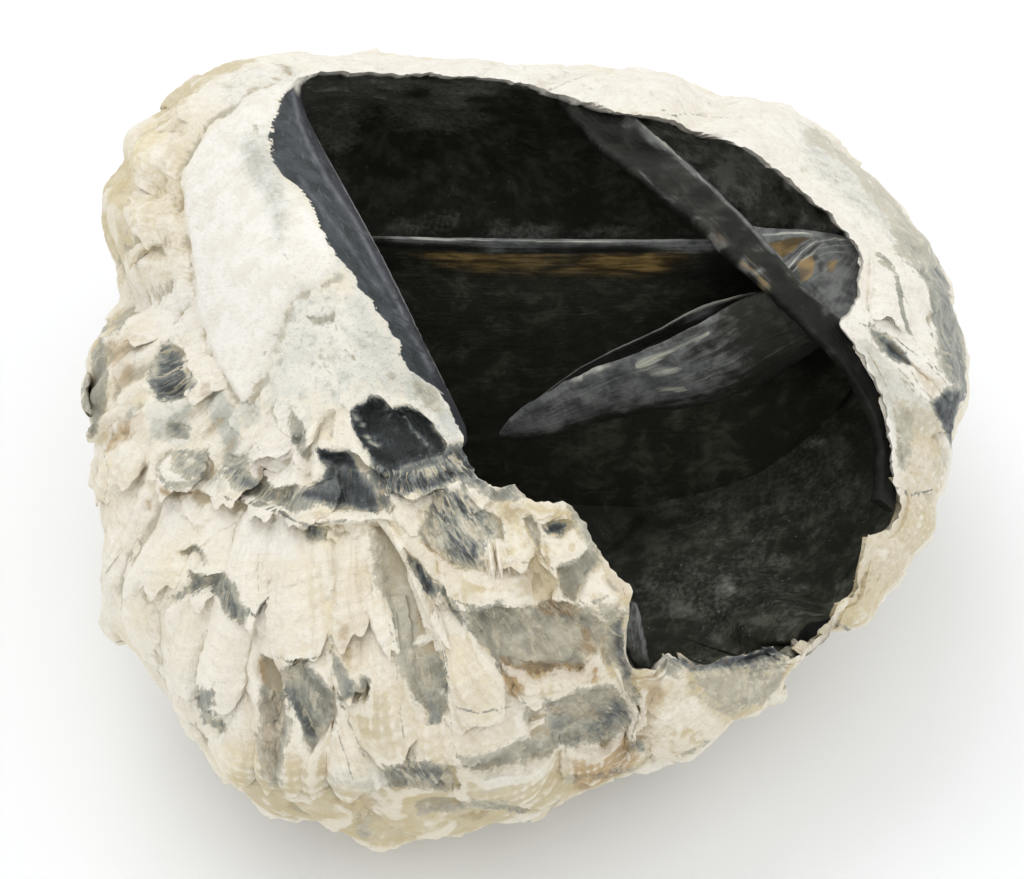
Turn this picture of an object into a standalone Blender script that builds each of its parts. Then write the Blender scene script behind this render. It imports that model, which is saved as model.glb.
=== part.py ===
"""A silicified brachiopod shell, broken open: one hollow body with the septa that grew inside it.

The shell is a lopsided, domed body resting on a worn flat. A ragged break opens it from the
crest to the low margin. Inside, a median septum, a trough of two blades, an arched band and a
small hinge shelf grow out of the wall, so the whole is one closed solid.

Lengths are in millimetres until the mesh is made; the scene is in metres, +Z up. The origin is
the centre of the footprint of the bounding box, on the surface that the shell rests on.
"""

import math

import bmesh
import bpy
import numpy as np
from mathutils import Vector

# ---------------------------------------------------------------- driving dimensions (mm)
HALF_WIDTH = 40.0        # semi-axis of the body along X
HALF_LENGTH = 42.0       # semi-axis along Y
HALF_HEIGHT = 26.0       # semi-axis along Z
REST_DEPTH = 22.3        # the worn flat lies this far below the body's centre
WALL_MEAN = 3.4          # wall thickness half way round
WALL_SWING = 1.4         # thicker on the crest side, thinner at the low margin
SEPTUM_THICK = 1.1       # free edge of the median septum
BLADE_THICK = 1.1        # blades of the trough
BAND_THICK = 1.6         # arched band
SHELF_THICK = 1.6        # hinge shelf
GROWTH_STEP = 8.5        # distance between growth ledges, measured away from the crest
GROWTH_LEDGE = 0.9       # height of a ledge's step down
COLUMNS = 86             # columns of faces round the break
OUTER_ROWS = 30
INNER_ROWS = 12
CENTRE_TO_ORIGIN = (0.12, -1.34, REST_DEPTH)   # puts the footprint's centre at the origin

# The break and the septa are drawn on a sheet that leans back 40 degrees from the vertical and
# passes through the body's centre. The drawing is 11 times full size, x to the right and y down,
# with the body's centre at (529, 451); it is carried to the body along lines from one sight point.
SHEET_SCALE = 11.0
SHEET_CENTRE = (529.0, 451.0)
SHEET_TILT = math.radians(50.0)
SIGHT_AT = (512.0, 439.5)     # foot of the sight point on the sheet
SIGHT_DISTANCE = 500.0

RIGHT = np.array([1.0, 0.0, 0.0])
UP = np.array([0.0, math.sin(SHEET_TILT), math.cos(SHEET_TILT)])
OUT = np.array([0.0, -math.cos(SHEET_TILT), math.sin(SHEET_TILT)])
CREST = np.array([-0.59, 0.12, 0.80])        # direction of the crest from the body's centre

# Radius of the body's outline on the sheet, every 15 degrees, from the right, counter-clockwise.
OUTLINE = [39.0, 41.0, 40.4, 39.4, 37.4, 36.2, 35.5, 37.4, 42.0, 45.0, 43.6, 40.6,
           39.7, 40.4, 40.6, 40.6, 39.2, 37.6, 34.8, 32.6, 31.9, 31.0, 32.8, 36.8]

# The break in the outer face, counter-clockwise on the body from the crest corner.
BREAK = [(297, 92), (276, 112), (271, 145), (296, 186), (324, 228), (352, 275), (385, 320),
         (418, 370), (447, 402), (466, 445), (490, 485), (530, 498), (562, 504), (585, 530),
         (606, 566), (632, 592), (626, 632), (638, 671), (660, 652), (700, 660), (745, 654),
         (786, 652), (808, 642), (832, 622), (854, 585), (866, 538), (890, 528), (898, 502), (893, 460),
         (880, 398), (858, 355), (842, 324), (860, 290), (854, 240), (815, 200), (775, 162),
         (720, 135), (640, 113), (560, 95), (500, 80), (430, 73), (370, 70), (322, 74)]
BREAK_CENTRE = (670, 420)

# The inner edge of the broken wall where it stands proud of the outer face, on the crest side.
LIP = [(306, 84), (312, 118), (322, 150), (345, 190), (365, 230), (385, 270), (405, 310),
       (425, 345), (445, 385), (462, 420), (472, 450)]


# ---------------------------------------------------------------- the body
def periodic(values, angle):
    """Smooth periodic curve through evenly spaced values."""
    v = np.asarray(values, float)
    n = len(v)
    x = np.mod(angle, 2 * math.pi) / (2 * math.pi) * n
    i = np.floor(x).astype(int) % n
    f = x - np.floor(x)
    p0, p1, p2, p3 = v[(i - 1) % n], v[i], v[(i + 1) % n], v[(i + 2) % n]
    return 0.5 * (2 * p1 + (p2 - p0) * f + (2 * p0 - 5 * p1 + 4 * p2 - p3) * f**2
                  + (3 * p1 - p0 - 3 * p2 + p3) * f**3)


def lumps(d):
    """Broad, low swellings of the shell, as a share of the radius."""
    x, y, z = d[..., 0], d[..., 1], d[..., 2]
    return (0.011 * np.sin(5.1 * x + 2.3 * y + 0.7) + 0.010 * np.sin(4.3 * y - 3.7 * z + 1.9)
            + 0.008 * np.sin(6.7 * z + 3.1 * x - 2.2) + 0.006 * np.sin(9.3 * x - 7.9 * y + 4.0 * z))


def growth(d):
    """Height of the growth ledges: each rises slowly away from the crest, then steps down."""
    away = np.arccos(np.clip(d @ CREST, -1, 1)) * HALF_WIDTH / GROWTH_STEP
    away = away + 0.22 * np.sin(5 * np.arctan2(d[..., 1], d[..., 0])) + 0.15 * np.sin(11 * d[..., 0] + 4 * d[..., 1])
    share = np.mod(away, 1.0)
    step = np.where(share < 0.72, share / 0.72, (1 - share) / 0.28)
    fade = np.clip((d[..., 2] + 0.62) / 0.25, 0, 1) * np.clip((away - 1.2) / 1.5, 0, 1)
    return GROWTH_LEDGE * (step - 0.5) * fade


def outer_radius(d):
    """Distance from the body's centre to the outer face, in the unit directions d."""
    axes = np.array([HALF_WIDTH, HALF_LENGTH, HALF_HEIGHT])
    ellipsoid = 1.0 / np.sqrt(((d / axes) ** 2).sum(-1))
    a, b, c = d @ RIGHT, d @ UP, d @ OUT
    angle = np.arctan2(b, a)
    across = math.hypot(HALF_LENGTH * UP[1], HALF_HEIGHT * UP[2])
    plain = 1.0 / np.sqrt((np.cos(angle) / HALF_WIDTH) ** 2 + (np.sin(angle) / across) ** 2)
    share = np.clip((1 - c**2) / 0.6, 0, 1)
    share = share * share * (3 - 2 * share)
    radius = ellipsoid * (1 + (periodic(OUTLINE, angle) / plain - 1) * share) * (1 + lumps(d)) + growth(d)
    return np.where(d[..., 2] < -1e-6, np.minimum(radius, REST_DEPTH / np.maximum(-d[..., 2], 1e-6)), radius)


def wall(d):
    """Wall thickness, measured along the radius."""
    low_margin = 0.68 * RIGHT - 0.73 * UP
    return WALL_MEAN - WALL_SWING * (d @ low_margin)


def unit(v):
    return v / np.linalg.norm(v, axis=-1, keepdims=True)


def sight_lines(points):
    """Points of the sheet in space, and the unit directions from them to the sight point."""
    p = np.atleast_2d(np.asarray(points, float))
    x = (p[:, 0] - SHEET_CENTRE[0]) / SHEET_SCALE
    y = (SHEET_CENTRE[1] - p[:, 1]) / SHEET_SCALE
    on_sheet = x[:, None] * RIGHT + y[:, None] * UP
    foot = ((SIGHT_AT[0] - SHEET_CENTRE[0]) / SHEET_SCALE * RIGHT
            + (SHEET_CENTRE[1] - SIGHT_AT[1]) / SHEET_SCALE * UP)
    return on_sheet, unit(foot + SIGHT_DISTANCE * OUT - on_sheet)


def lift(points, height):
    """Sheet points raised towards the sight point by height."""
    on_sheet, towards = sight_lines(points)
    return on_sheet + towards * np.asarray(height, float).reshape(-1, 1)


def on_body(points, below=0.0):
    """Sheet points carried onto the outer face, or onto the surface that lies below it."""
    on_sheet, towards = sight_lines(points)
    below = np.broadcast_to(below, len(on_sheet))
    high, low = np.full(len(on_sheet), 60.0), np.full(len(on_sheet), -25.0)
    # The line is stepped from outside until it meets the surface, then halved.
    reached = np.zeros(len(on_sheet), bool)
    for step in np.linspace(60, -25, 171):
        p = on_sheet + towards * step
        r = np.linalg.norm(p, axis=1)
        inside = r < outer_radius(p / r[:, None]) - below
        low = np.where(inside & ~reached, step, low)
        high = np.where(~inside & ~reached, step, high)
        reached |= inside
    for _ in range(30):
        middle = (high + low) / 2
        p = on_sheet + towards * middle[:, None]
        r = np.linalg.norm(p, axis=1)
        inside = r < outer_radius(p / r[:, None]) - below
        low, high = np.where(inside, middle, low), np.where(inside, high, middle)
    return on_sheet + towards * ((high + low) / 2)[:, None]


# ---------------------------------------------------------------- mesh helpers
def object_from(name, verts, faces, smooth=True):
    mesh = bpy.data.meshes.new(name)
    bm = bmesh.new()
    made = [bm.verts.new(Vector(v) * 0.001) for v in verts]
    for face in faces:
        bm.faces.new([made[i] for i in face])
    bmesh.ops.recalc_face_normals(bm, faces=bm.faces)
    if bm.calc_volume(signed=True) < 0:
        bmesh.ops.reverse_faces(bm, faces=bm.faces)
    bm.to_mesh(mesh)
    bm.free()
    if smooth:
        mesh.shade_smooth()
        mesh.set_sharp_from_angle(angle=math.radians(40))
    obj = bpy.data.objects.new(name, mesh)
    bpy.context.scene.collection.objects.link(obj)
    return obj


def resample(points, count):
    """A polyline's points, evenly spaced along it."""
    p = np.asarray(points, float)
    along = np.concatenate([[0], np.cumsum(np.linalg.norm(np.diff(p, axis=0), axis=1))])
    at = np.linspace(0, along[-1], count)
    return np.stack([np.interp(at, along, p[:, k]) for k in range(p.shape[1])], axis=1)


def plate(name, edge_a, edge_b, thick_a, thick_b, rows=6, bow=0.0, facing=None):
    """A closed slab ruled between two edges, thick_a at the first and thick_b at the second."""
    a, b = np.asarray(edge_a, float), np.asarray(edge_b, float)
    n = len(a)
    v = np.linspace(0, 1, rows)[:, None, None]
    mid = a[None] * (1 - v) + b[None] * v
    if facing is None:
        normal = unit(np.cross(np.gradient(mid, axis=1), np.gradient(mid, axis=0)))
    else:
        normal = unit(np.asarray(facing, float))
    mid = mid + normal * bow * np.sin(math.pi * v)
    half = 0.5 * (thick_a * (1 - v) + thick_b * v)
    top, under = mid + normal * half, mid - normal * half
    verts = np.concatenate([top.reshape(-1, 3), under.reshape(-1, 3)])
    index = lambda side, i, j: side * rows * n + i * n + j
    faces = []
    for i in range(rows - 1):
        for j in range(n - 1):
            faces.append((index(0, i, j), index(0, i, j + 1), index(0, i + 1, j + 1), index(0, i + 1, j)))
            faces.append((index(1, i, j), index(1, i + 1, j), index(1, i + 1, j + 1), index(1, i, j + 1)))
    ring = ([(0, j) for j in range(n)] + [(i, n - 1) for i in range(1, rows)]
            + [(rows - 1, j) for j in range(n - 2, -1, -1)] + [(i, 0) for i in range(rows - 2, 0, -1)])
    for (i, j), (k, m) in zip(ring, ring[1:] + ring[:1]):
        faces.append((index(0, i, j), index(1, i, j), index(1, k, m), index(0, k, m)))
    return object_from(name, verts, faces, smooth=False)


# ---------------------------------------------------------------- the wall, with its ragged break
def axis_frame():
    pole = unit(on_body([BREAK_CENTRE]))[0]
    side = unit(np.cross(UP, pole))
    return pole, side, np.cross(pole, side)


def polar(points, frame):
    """Angle round the break's axis, and angle away from it."""
    pole, side, top = frame
    d = unit(points)
    return np.arctan2(d @ top, d @ side), np.arccos(np.clip(d @ pole, -1, 1))


def direction(turn, away, frame):
    pole, side, top = frame
    turn, away = np.asarray(turn)[..., None], np.asarray(away)[..., None]
    return np.cos(away) * pole + np.sin(away) * (np.cos(turn) * side + np.sin(turn) * top)


def shell_wall():
    frame = axis_frame()
    edge = resample(BREAK + BREAK[:1], COLUMNS + 1)[:-1]
    turn, away = polar(on_body(edge), frame)
    turn = np.unwrap(turn)
    if turn[-1] < turn[0]:
        turn, away = turn[::-1], away[::-1]
    for i in range(1, COLUMNS):                      # each column stays ahead of the last
        turn[i] = max(turn[i], turn[i - 1] + 0.004)
    even = turn[0] + np.arange(COLUMNS) * 2 * math.pi / COLUMNS
    even += (turn - even).mean()

    # The inner edge keeps close under the outer one, and stands out along the crest side.
    lip_turn, lip_away = polar(on_body(LIP, below=4.6), frame)
    order = np.argsort(np.mod(lip_turn - turn[0], 2 * math.pi))
    lip_turn, lip_away = np.mod(lip_turn - turn[0], 2 * math.pi)[order], lip_away[order]
    at = np.mod(turn - turn[0], 2 * math.pi)
    inside = (at >= lip_turn[0]) & (at <= lip_turn[-1])
    inner_away = np.where(inside, np.minimum(np.interp(at, lip_turn, lip_away), away - 0.02), away + 0.006)

    rings = []
    for row in range(OUTER_ROWS):
        s = row / OUTER_ROWS
        s = s ** 1.1
        blend = min(1.0, 2.2 * s)
        t = turn * (1 - blend) + even * blend
        a = away * (1 - s) + math.pi * s
        d = direction(t, a, frame)
        rings.append(d * outer_radius(d)[:, None])
    outer = rings[::-1]                                # from the far pole to the break
    inner = []
    for row in range(INNER_ROWS):
        s = (row / INNER_ROWS) ** 1.1
        blend = min(1.0, 2.2 * s)
        t = turn * (1 - blend) + even * blend
        a = inner_away * (1 - s) + math.pi * s
        d = direction(t, a, frame)
        depth = wall(d) * (1.0 if row else 0.8)
        inner.append(d * (outer_radius(d) - depth)[:, None])
    rings = outer + inner
    far = -frame[0]
    poles = [far * outer_radius(far[None])[0], far * (outer_radius(far[None])[0] - wall(far[None])[0])]
    verts = np.concatenate([np.concatenate(rings), np.array(poles)])
    faces = []
    last = len(verts) - 1
    for j in range(COLUMNS):
        k = (j + 1) % COLUMNS
        faces.append((last - 1, j, k))
        base = (len(rings) - 1) * COLUMNS
        faces.append((base + j, last, base + k))
        for i in range(len(rings) - 1):
            faces.append((i * COLUMNS + j, (i + 1) * COLUMNS + j, (i + 1) * COLUMNS + k, i * COLUMNS + k))
    return object_from("shell", verts, faces)


# ---------------------------------------------------------------- what grew inside
def down_to_wall(points, along, depth=0.55):
    """Each point moved along a direction until it is depth of the way into the wall."""
    p = np.asarray(points, float)
    along = unit(np.asarray(along, float))
    low, high = np.zeros(len(p)), np.full(len(p), 90.0)
    for _ in range(40):
        middle = (low + high) / 2
        q = p + along * middle[:, None]
        r = np.linalg.norm(q, axis=1)
        d = q / r[:, None]
        inside = r < outer_radius(d) - wall(d) * (1 - depth)
        low, high = np.where(inside, middle, low), np.where(inside, high, middle)
    return p + along * ((low + high) / 2)[:, None]


def median_septum():
    top = resample(lift([(372, 238), (520, 243), (650, 245), (760, 243), (845, 241)], [10, 9.5, 9.5, 10, 11]), 13)
    drop = np.array([0, 0, -3.0])
    left = down_to_wall(top[:1], -RIGHT), down_to_wall(top[:1] + drop, -RIGHT)
    right = down_to_wall(top[-1:], RIGHT), down_to_wall(top[-1:] + drop, RIGHT)
    foot = down_to_wall(top, [0, 0.06, -1])
    return plate("median_septum", np.concatenate([left[0], top, right[0]]),
                 np.concatenate([left[1], foot, right[1]]), SEPTUM_THICK, 1.8, rows=4, bow=0.8, facing=[0, 1, 0.06])


def trough_blades():
    keel = lift([(501, 437), (540, 432), (600, 420), (660, 408), (730, 392), (790, 368), (850, 340)],
                [7.2, 6.5, 5.5, 5, 5, 6.5, 8.5])
    front = lift([(503, 424), (545, 393), (600, 370), (660, 350), (715, 328), (780, 312), (850, 302)],
                 [9.5, 10.5, 11, 12, 13, 14, 14])
    rear = lift([(530, 402), (576, 370), (643, 336), (681, 315), (722, 298), (780, 288), (850, 284)],
                [6.0, 6.5, 7.5, 8.5, 10, 11.5, 12.5])
    keel, front, rear = (resample(c, 13) for c in (keel, front, rear))
    keel[-1:], front[-1:], rear[-1:] = (down_to_wall(c[-1:], RIGHT, 0.5) for c in (keel, front, rear))
    seat = 0.70 * keel + 0.30 * front                # the rear blade grows out of the front one, above its keel
    return [plate("front_blade", front, keel, BLADE_THICK, 1.9, rows=4, bow=0.8, facing=[0.1, -1, -0.05]),
            plate("rear_blade", rear, seat, BLADE_THICK, 0.8, rows=4, bow=-0.6, facing=[0, -0.88, 0.47])]


def arched_band():
    outer_edge = resample([(626, 102), (642, 115), (672, 142), (705, 178), (740, 215), (775, 252), (808, 290),
                           (842, 322), (872, 358), (892, 392), (903, 425), (908, 460), (908, 500), (900, 540)], 20)
    inner_edge = resample([(556, 92), (575, 106), (602, 128), (640, 163), (675, 198), (705, 228), (735, 258),
                           (765, 284), (795, 310), (822, 338), (845, 368), (862, 398), (874, 430), (883, 462),
                           (886, 495), (880, 540)], 20)
    at = np.arange(20)
    ease = np.clip((at - 14) / 5.0, 0, 1) + np.clip((4 - at) / 4.0, 0, 1)
    return plate("arched_band", on_body(outer_edge, below=2.0 - 0.9 * ease), on_body(inner_edge, below=2.6 - 1.4 * ease),
                 BAND_THICK, BAND_THICK, rows=3)


def hinge_shelf():
    upper = on_body(resample([(748, 226), (800, 232), (845, 232), (878, 238)], 9), below=[4.6] * 5 + [4.2, 3.2, 2.6, 2.0])
    lower = on_body(resample([(790, 306), (815, 330), (845, 335), (876, 318)], 9), below=[3.4] * 5 + [3.2, 2.8, 2.4, 2.0])
    return plate("hinge_shelf", upper, lower, SHELF_THICK, SHELF_THICK, rows=4, bow=1.5)


def finish_of(name, colour, roughness):
    material = bpy.data.materials.new(name)
    material.use_nodes = True
    shader = material.node_tree.nodes["Principled BSDF"]
    shader.inputs["Base Color"].default_value = (*colour, 1)
    shader.inputs["Roughness"].default_value = roughness
    shader.inputs["Metallic"].default_value = 0.0
    return material


def main():
    for obj in list(bpy.data.objects):
        bpy.data.objects.remove(obj)
    shell = shell_wall()
    shell.data.materials.append(finish_of("cream_silica", (0.80, 0.74, 0.62), 0.65))
    for piece in [median_septum(), *trough_blades(), arched_band(), hinge_shelf()]:
        piece.hide_render = True
        piece.display_type = "WIRE"
        join = shell.modifiers.new("grow_" + piece.name, "BOOLEAN")
        join.operation = "UNION"
        join.solver = "EXACT"
        join.object = piece
        piece.location = Vector(CENTRE_TO_ORIGIN) * 0.001
    shell.location = Vector(CENTRE_TO_ORIGIN) * 0.001


main()
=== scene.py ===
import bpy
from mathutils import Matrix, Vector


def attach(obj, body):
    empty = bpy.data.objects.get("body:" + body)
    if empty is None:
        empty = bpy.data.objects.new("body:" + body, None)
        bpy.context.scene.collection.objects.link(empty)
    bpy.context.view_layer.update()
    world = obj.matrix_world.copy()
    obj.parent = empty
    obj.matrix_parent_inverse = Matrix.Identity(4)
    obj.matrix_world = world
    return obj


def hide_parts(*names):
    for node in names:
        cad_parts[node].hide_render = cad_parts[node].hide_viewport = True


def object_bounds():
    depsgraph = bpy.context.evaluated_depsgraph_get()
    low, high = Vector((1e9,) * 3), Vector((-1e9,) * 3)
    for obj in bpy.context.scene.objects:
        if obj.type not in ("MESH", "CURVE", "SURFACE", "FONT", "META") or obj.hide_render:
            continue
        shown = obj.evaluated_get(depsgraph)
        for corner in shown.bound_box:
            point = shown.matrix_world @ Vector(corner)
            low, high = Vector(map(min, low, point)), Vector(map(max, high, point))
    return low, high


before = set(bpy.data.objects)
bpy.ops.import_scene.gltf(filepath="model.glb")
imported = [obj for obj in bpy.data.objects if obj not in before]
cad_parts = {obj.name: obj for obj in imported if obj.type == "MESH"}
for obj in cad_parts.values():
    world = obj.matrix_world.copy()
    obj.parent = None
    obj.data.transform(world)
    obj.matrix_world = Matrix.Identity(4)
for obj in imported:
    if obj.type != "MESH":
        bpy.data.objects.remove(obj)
CAD_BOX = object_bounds()

import math

import bmesh
import bpy
import numpy as np
from mathutils import Vector

# The looks of a silicified brachiopod shell, broken open. Lengths are millimetres in the body's
# own frame (centre of the dome) until a mesh is made; place() carries them to the part's frame.
# The layout of the outside is drawn on a sheet that leans back 40 degrees and passes through the
# body's centre: x to the right, y down, 11 units to the millimetre, body centre at (529, 451).

HALF_WIDTH, HALF_LENGTH, HALF_HEIGHT = 40.0, 42.0, 26.0
REST_DEPTH = 22.3
WALL_MEAN, WALL_SWING = 3.4, 1.4
TO_PART = np.array([0.12, -1.34, REST_DEPTH])
SCALE = 11.0
CENTRE = (529.0, 451.0)
TILT = math.radians(50.0)
SIGHT_AT = (512.0, 439.5)
SIGHT_DISTANCE = 500.0
RIGHT = np.array([1.0, 0.0, 0.0])
UP = np.array([0.0, math.sin(TILT), math.cos(TILT)])
OUT = np.array([0.0, -math.cos(TILT), math.sin(TILT)])
FOOT = (SIGHT_AT[0] - CENTRE[0]) / SCALE * RIGHT + (CENTRE[1] - SIGHT_AT[1]) / SCALE * UP
SIGHT = FOOT + SIGHT_DISTANCE * OUT

COLUMNS = 1180
OUTER_ROWS = 330
LIP_ROWS = 14
INNER_ROWS = 110
WALL_FACES = 197000
KEEP_FACTOR = 2.5e-4

# Body outline on the sheet, clockwise.
OUTLINE = [(300, 50), (350, 50), (450, 55), (560, 65), (630, 65), (680, 75), (720, 98), (750, 95), (790, 105),
           (830, 135), (880, 180), (930, 240), (960, 300), (973, 370), (968, 400), (950, 470), (935, 530),
           (911, 568), (883, 609), (875, 623), (858, 632), (834, 630), (812, 652), (788, 672), (788, 692),
           (742, 719), (736, 723), (715, 739), (689, 764), (667, 762), (646, 774), (622, 776), (611, 788),
           (566, 799), (549, 812), (533, 821), (493, 827), (420, 841), (382, 854), (354, 844), (324, 821),
           (294, 816), (273, 819), (246, 799), (218, 773), (197, 743), (180, 728), (163, 700), (153, 677),
           (120, 639), (105, 631), (98, 589), (107, 533), (90, 478), (91, 440), (85, 400), (90, 340),
           (108, 310), (125, 300), (108, 250), (100, 190), (120, 170), (122, 140), (150, 110), (200, 70),
           (250, 55)]

# The break in the outer face, counter-clockwise.
BREAK = [(298, 78), (282, 92), (273, 112), (268, 136), (270, 158), (280, 174), (296, 186), (308, 197), (317, 222), (332, 250),
         (350, 271), (354, 286), (370, 300), (381, 318), (388, 333), (398, 340), (401, 356), (408, 370), (426, 382), (436, 389),
         (445, 403), (456, 424), (464, 436), (463, 450), (474, 468), (478, 476), (491, 487), (504, 488), (514, 485), (527, 498),
         (540, 502), (563, 501), (570, 508), (579, 520), (586, 523), (593, 540), (606, 560), (618, 578), (632, 588),
         (631, 603), (631, 616), (622, 640), (624, 656), (634, 672), (656, 669), (661, 654), (668, 652), (682, 661),
         (705, 664), (722, 662), (754, 653), (773, 646), (788, 661), (803, 652), (818, 639), (831, 621), (839, 602),
         (854, 596), (862, 562), (867, 533), (889, 530), (899, 517), (901, 496), (892, 482), (894, 460), (892, 438),
         (886, 412), (878, 388), (866, 364), (852, 340), (842, 324), (850, 316), (857, 303), (861, 290), (862, 266), (859, 246),
         (848, 234), (826, 210), (799, 188), (778, 170), (756, 153), (729, 141), (700, 132), (672, 122), (640, 114),
         (600, 104), (560, 95), (545, 88), (530, 84), (500, 80), (465, 76), (430, 74), (390, 73), (350, 72), (322, 72)]
BREAK_CENTRE = (670, 420)
LIP = [(306, 84), (302, 102), (307, 118), (315, 134), (327, 156), (346, 190), (367, 228), (386, 264), (404, 300),
       (421, 336), (436, 366), (448, 390), (458, 410), (466, 428), (468, 446)]


# ---------------------------------------------------------------- numbers
def unit(v):
    return v / np.linalg.norm(v, axis=-1, keepdims=True)


def smooth(x, a, b):
    """0 at a, 1 at b, eased."""
    t = np.clip((x - a) / (b - a), 0, 1)
    return t * t * (3 - 2 * t)


def hashed(i, j, k, seed):
    """A repeatable number from 0 to 1 for each whole-number triple."""
    with np.errstate(over="ignore"):
        h = (np.asarray(i).astype(np.int64).astype(np.uint32) * np.uint32(0x8DA6B343)
             ^ np.asarray(j).astype(np.int64).astype(np.uint32) * np.uint32(0xD8163841)
             ^ np.asarray(k).astype(np.int64).astype(np.uint32) * np.uint32(0xCB1AB31F)
             ^ np.uint32((seed * 2654435761) & 0xFFFFFFFF))
        h ^= h >> np.uint32(15)
        h = h * np.uint32(0x2C1B3C6D)
        h ^= h >> np.uint32(12)
        h = h * np.uint32(0x297A2D39)
        h ^= h >> np.uint32(15)
    return h.astype(np.float64) / 4294967295.0


def noise(p, size, seed=0):
    """Smooth noise from -1 to 1 in points p (n, 3), with features about size across."""
    q = np.asarray(p) / size
    c = np.floor(q).astype(np.int64)
    f = q - c
    f = f * f * (3 - 2 * f)
    total = np.zeros(len(q))
    for dx in (0, 1):
        for dy in (0, 1):
            for dz in (0, 1):
                w = ((f[:, 0] if dx else 1 - f[:, 0]) * (f[:, 1] if dy else 1 - f[:, 1])
                     * (f[:, 2] if dz else 1 - f[:, 2]))
                total += w * hashed(c[:, 0] + dx, c[:, 1] + dy, c[:, 2] + dz, seed)
    return total * 2 - 1


def layered(p, size, octaves=3, seed=0, gain=0.5):
    total, share, top = 0, 1.0, 0.0
    for k in range(octaves):
        total = total + share * noise(p, size / 2**k, seed + 17 * k)
        top += share
        share *= gain
    return total / top


def resample(points, count):
    p = np.asarray(points, float)
    along = np.concatenate([[0], np.cumsum(np.linalg.norm(np.diff(p, axis=0), axis=1))])
    at = np.linspace(0, along[-1], count)
    return np.stack([np.interp(at, along, p[:, k]) for k in range(p.shape[1])], axis=1)


# ---------------------------------------------------------------- the body
def outline_radius():
    """The outline's radius about the body's centre at 720 even angles, in mm."""
    p = resample(OUTLINE + OUTLINE[:1], 4000)[:-1]
    x, y = (p[:, 0] - CENTRE[0]) / SCALE, (CENTRE[1] - p[:, 1]) / SCALE
    turn, radius = np.mod(np.arctan2(y, x), 2 * math.pi), np.hypot(x, y)
    order = np.argsort(turn)
    at = np.arange(720) / 720 * 2 * math.pi
    return np.interp(at, turn[order], radius[order], period=2 * math.pi)


def blurred(values, reach):
    """A ring of values, smoothed over reach places each way."""
    k = np.arange(-3 * reach, 3 * reach + 1)
    w = np.exp(-0.5 * (k / reach) ** 2)
    w /= w.sum()
    return sum(w[i] * np.roll(values, -int(s)) for i, s in enumerate(k))


OUTLINE_RADIUS = outline_radius()
RING = OUTLINE_RADIUS.copy()
RING_BROAD = blurred(RING, 16)
RING_FINE = blurred(RING, 2) - RING_BROAD


def ring_value(ring, angle):
    x = np.mod(angle, 2 * math.pi) / (2 * math.pi) * 720
    i = np.floor(x).astype(int) % 720
    f = x - np.floor(x)
    return ring[i] * (1 - f) + ring[(i + 1) % 720] * f


def lumps(d):
    x, y, z = d[..., 0], d[..., 1], d[..., 2]
    return (0.011 * np.sin(5.1 * x + 2.3 * y + 0.7) + 0.010 * np.sin(4.3 * y - 3.7 * z + 1.9)
            + 0.008 * np.sin(6.7 * z + 3.1 * x - 2.2) + 0.006 * np.sin(9.3 * x - 7.9 * y + 4.0 * z))


def body_radius(d, extra=0.0):
    """Distance from the body's centre to its face in the unit directions d, raised by extra."""
    axes = np.array([HALF_WIDTH, HALF_LENGTH, HALF_HEIGHT])
    ellipsoid = 1.0 / np.sqrt(((d / axes) ** 2).sum(-1))
    a, b, c = d @ RIGHT, d @ UP, d @ OUT
    angle = np.arctan2(b, a)
    across = math.hypot(HALF_LENGTH * UP[1], HALF_HEIGHT * UP[2])
    plain = 1.0 / np.sqrt((np.cos(angle) / HALF_WIDTH) ** 2 + (np.sin(angle) / across) ** 2)
    share = np.clip((1 - c**2) / 0.6, 0, 1)
    share = share * share * (3 - 2 * share)
    near = np.exp(-(c / 0.30) ** 2)
    radius = ellipsoid * (1 + (ring_value(RING_BROAD, angle) / plain - 1) * share) * (1 + lumps(d) * (1 - near))
    radius = radius + ring_value(RING_FINE, angle) * near + extra
    return np.where(d[..., 2] < -1e-6, np.minimum(radius, REST_DEPTH / np.maximum(-d[..., 2], 1e-6)), radius)


def wall(d):
    low_margin = 0.68 * RIGHT - 0.73 * UP
    return WALL_MEAN - WALL_SWING * (d @ low_margin)


def sight_lines(points):
    p = np.atleast_2d(np.asarray(points, float))
    x = (p[:, 0] - CENTRE[0]) / SCALE
    y = (CENTRE[1] - p[:, 1]) / SCALE
    on_sheet = x[:, None] * RIGHT + y[:, None] * UP
    return on_sheet, unit(SIGHT - on_sheet)


def lift(points, height):
    on_sheet, towards = sight_lines(points)
    return on_sheet + towards * np.asarray(height, float).reshape(-1, 1)


def on_body(points, below=0.0):
    """Sheet points carried onto the outer face, or onto the surface that lies below it."""
    on_sheet, towards = sight_lines(points)
    below = np.broadcast_to(below, len(on_sheet))
    high, low = np.full(len(on_sheet), 60.0), np.full(len(on_sheet), -25.0)
    reached = np.zeros(len(on_sheet), bool)
    for step in np.linspace(60, -25, 171):
        p = on_sheet + towards * step
        r = np.linalg.norm(p, axis=1)
        inside = r < body_radius(p / r[:, None]) - below
        low = np.where(inside & ~reached, step, low)
        high = np.where(~inside & ~reached, step, high)
        reached |= inside
    for _ in range(22):
        middle = (high + low) / 2
        p = on_sheet + towards * middle[:, None]
        r = np.linalg.norm(p, axis=1)
        inside = r < body_radius(p / r[:, None]) - below
        low, high = np.where(inside, middle, low), np.where(inside, high, middle)
    return on_sheet + towards * ((high + low) / 2)[:, None]


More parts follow.
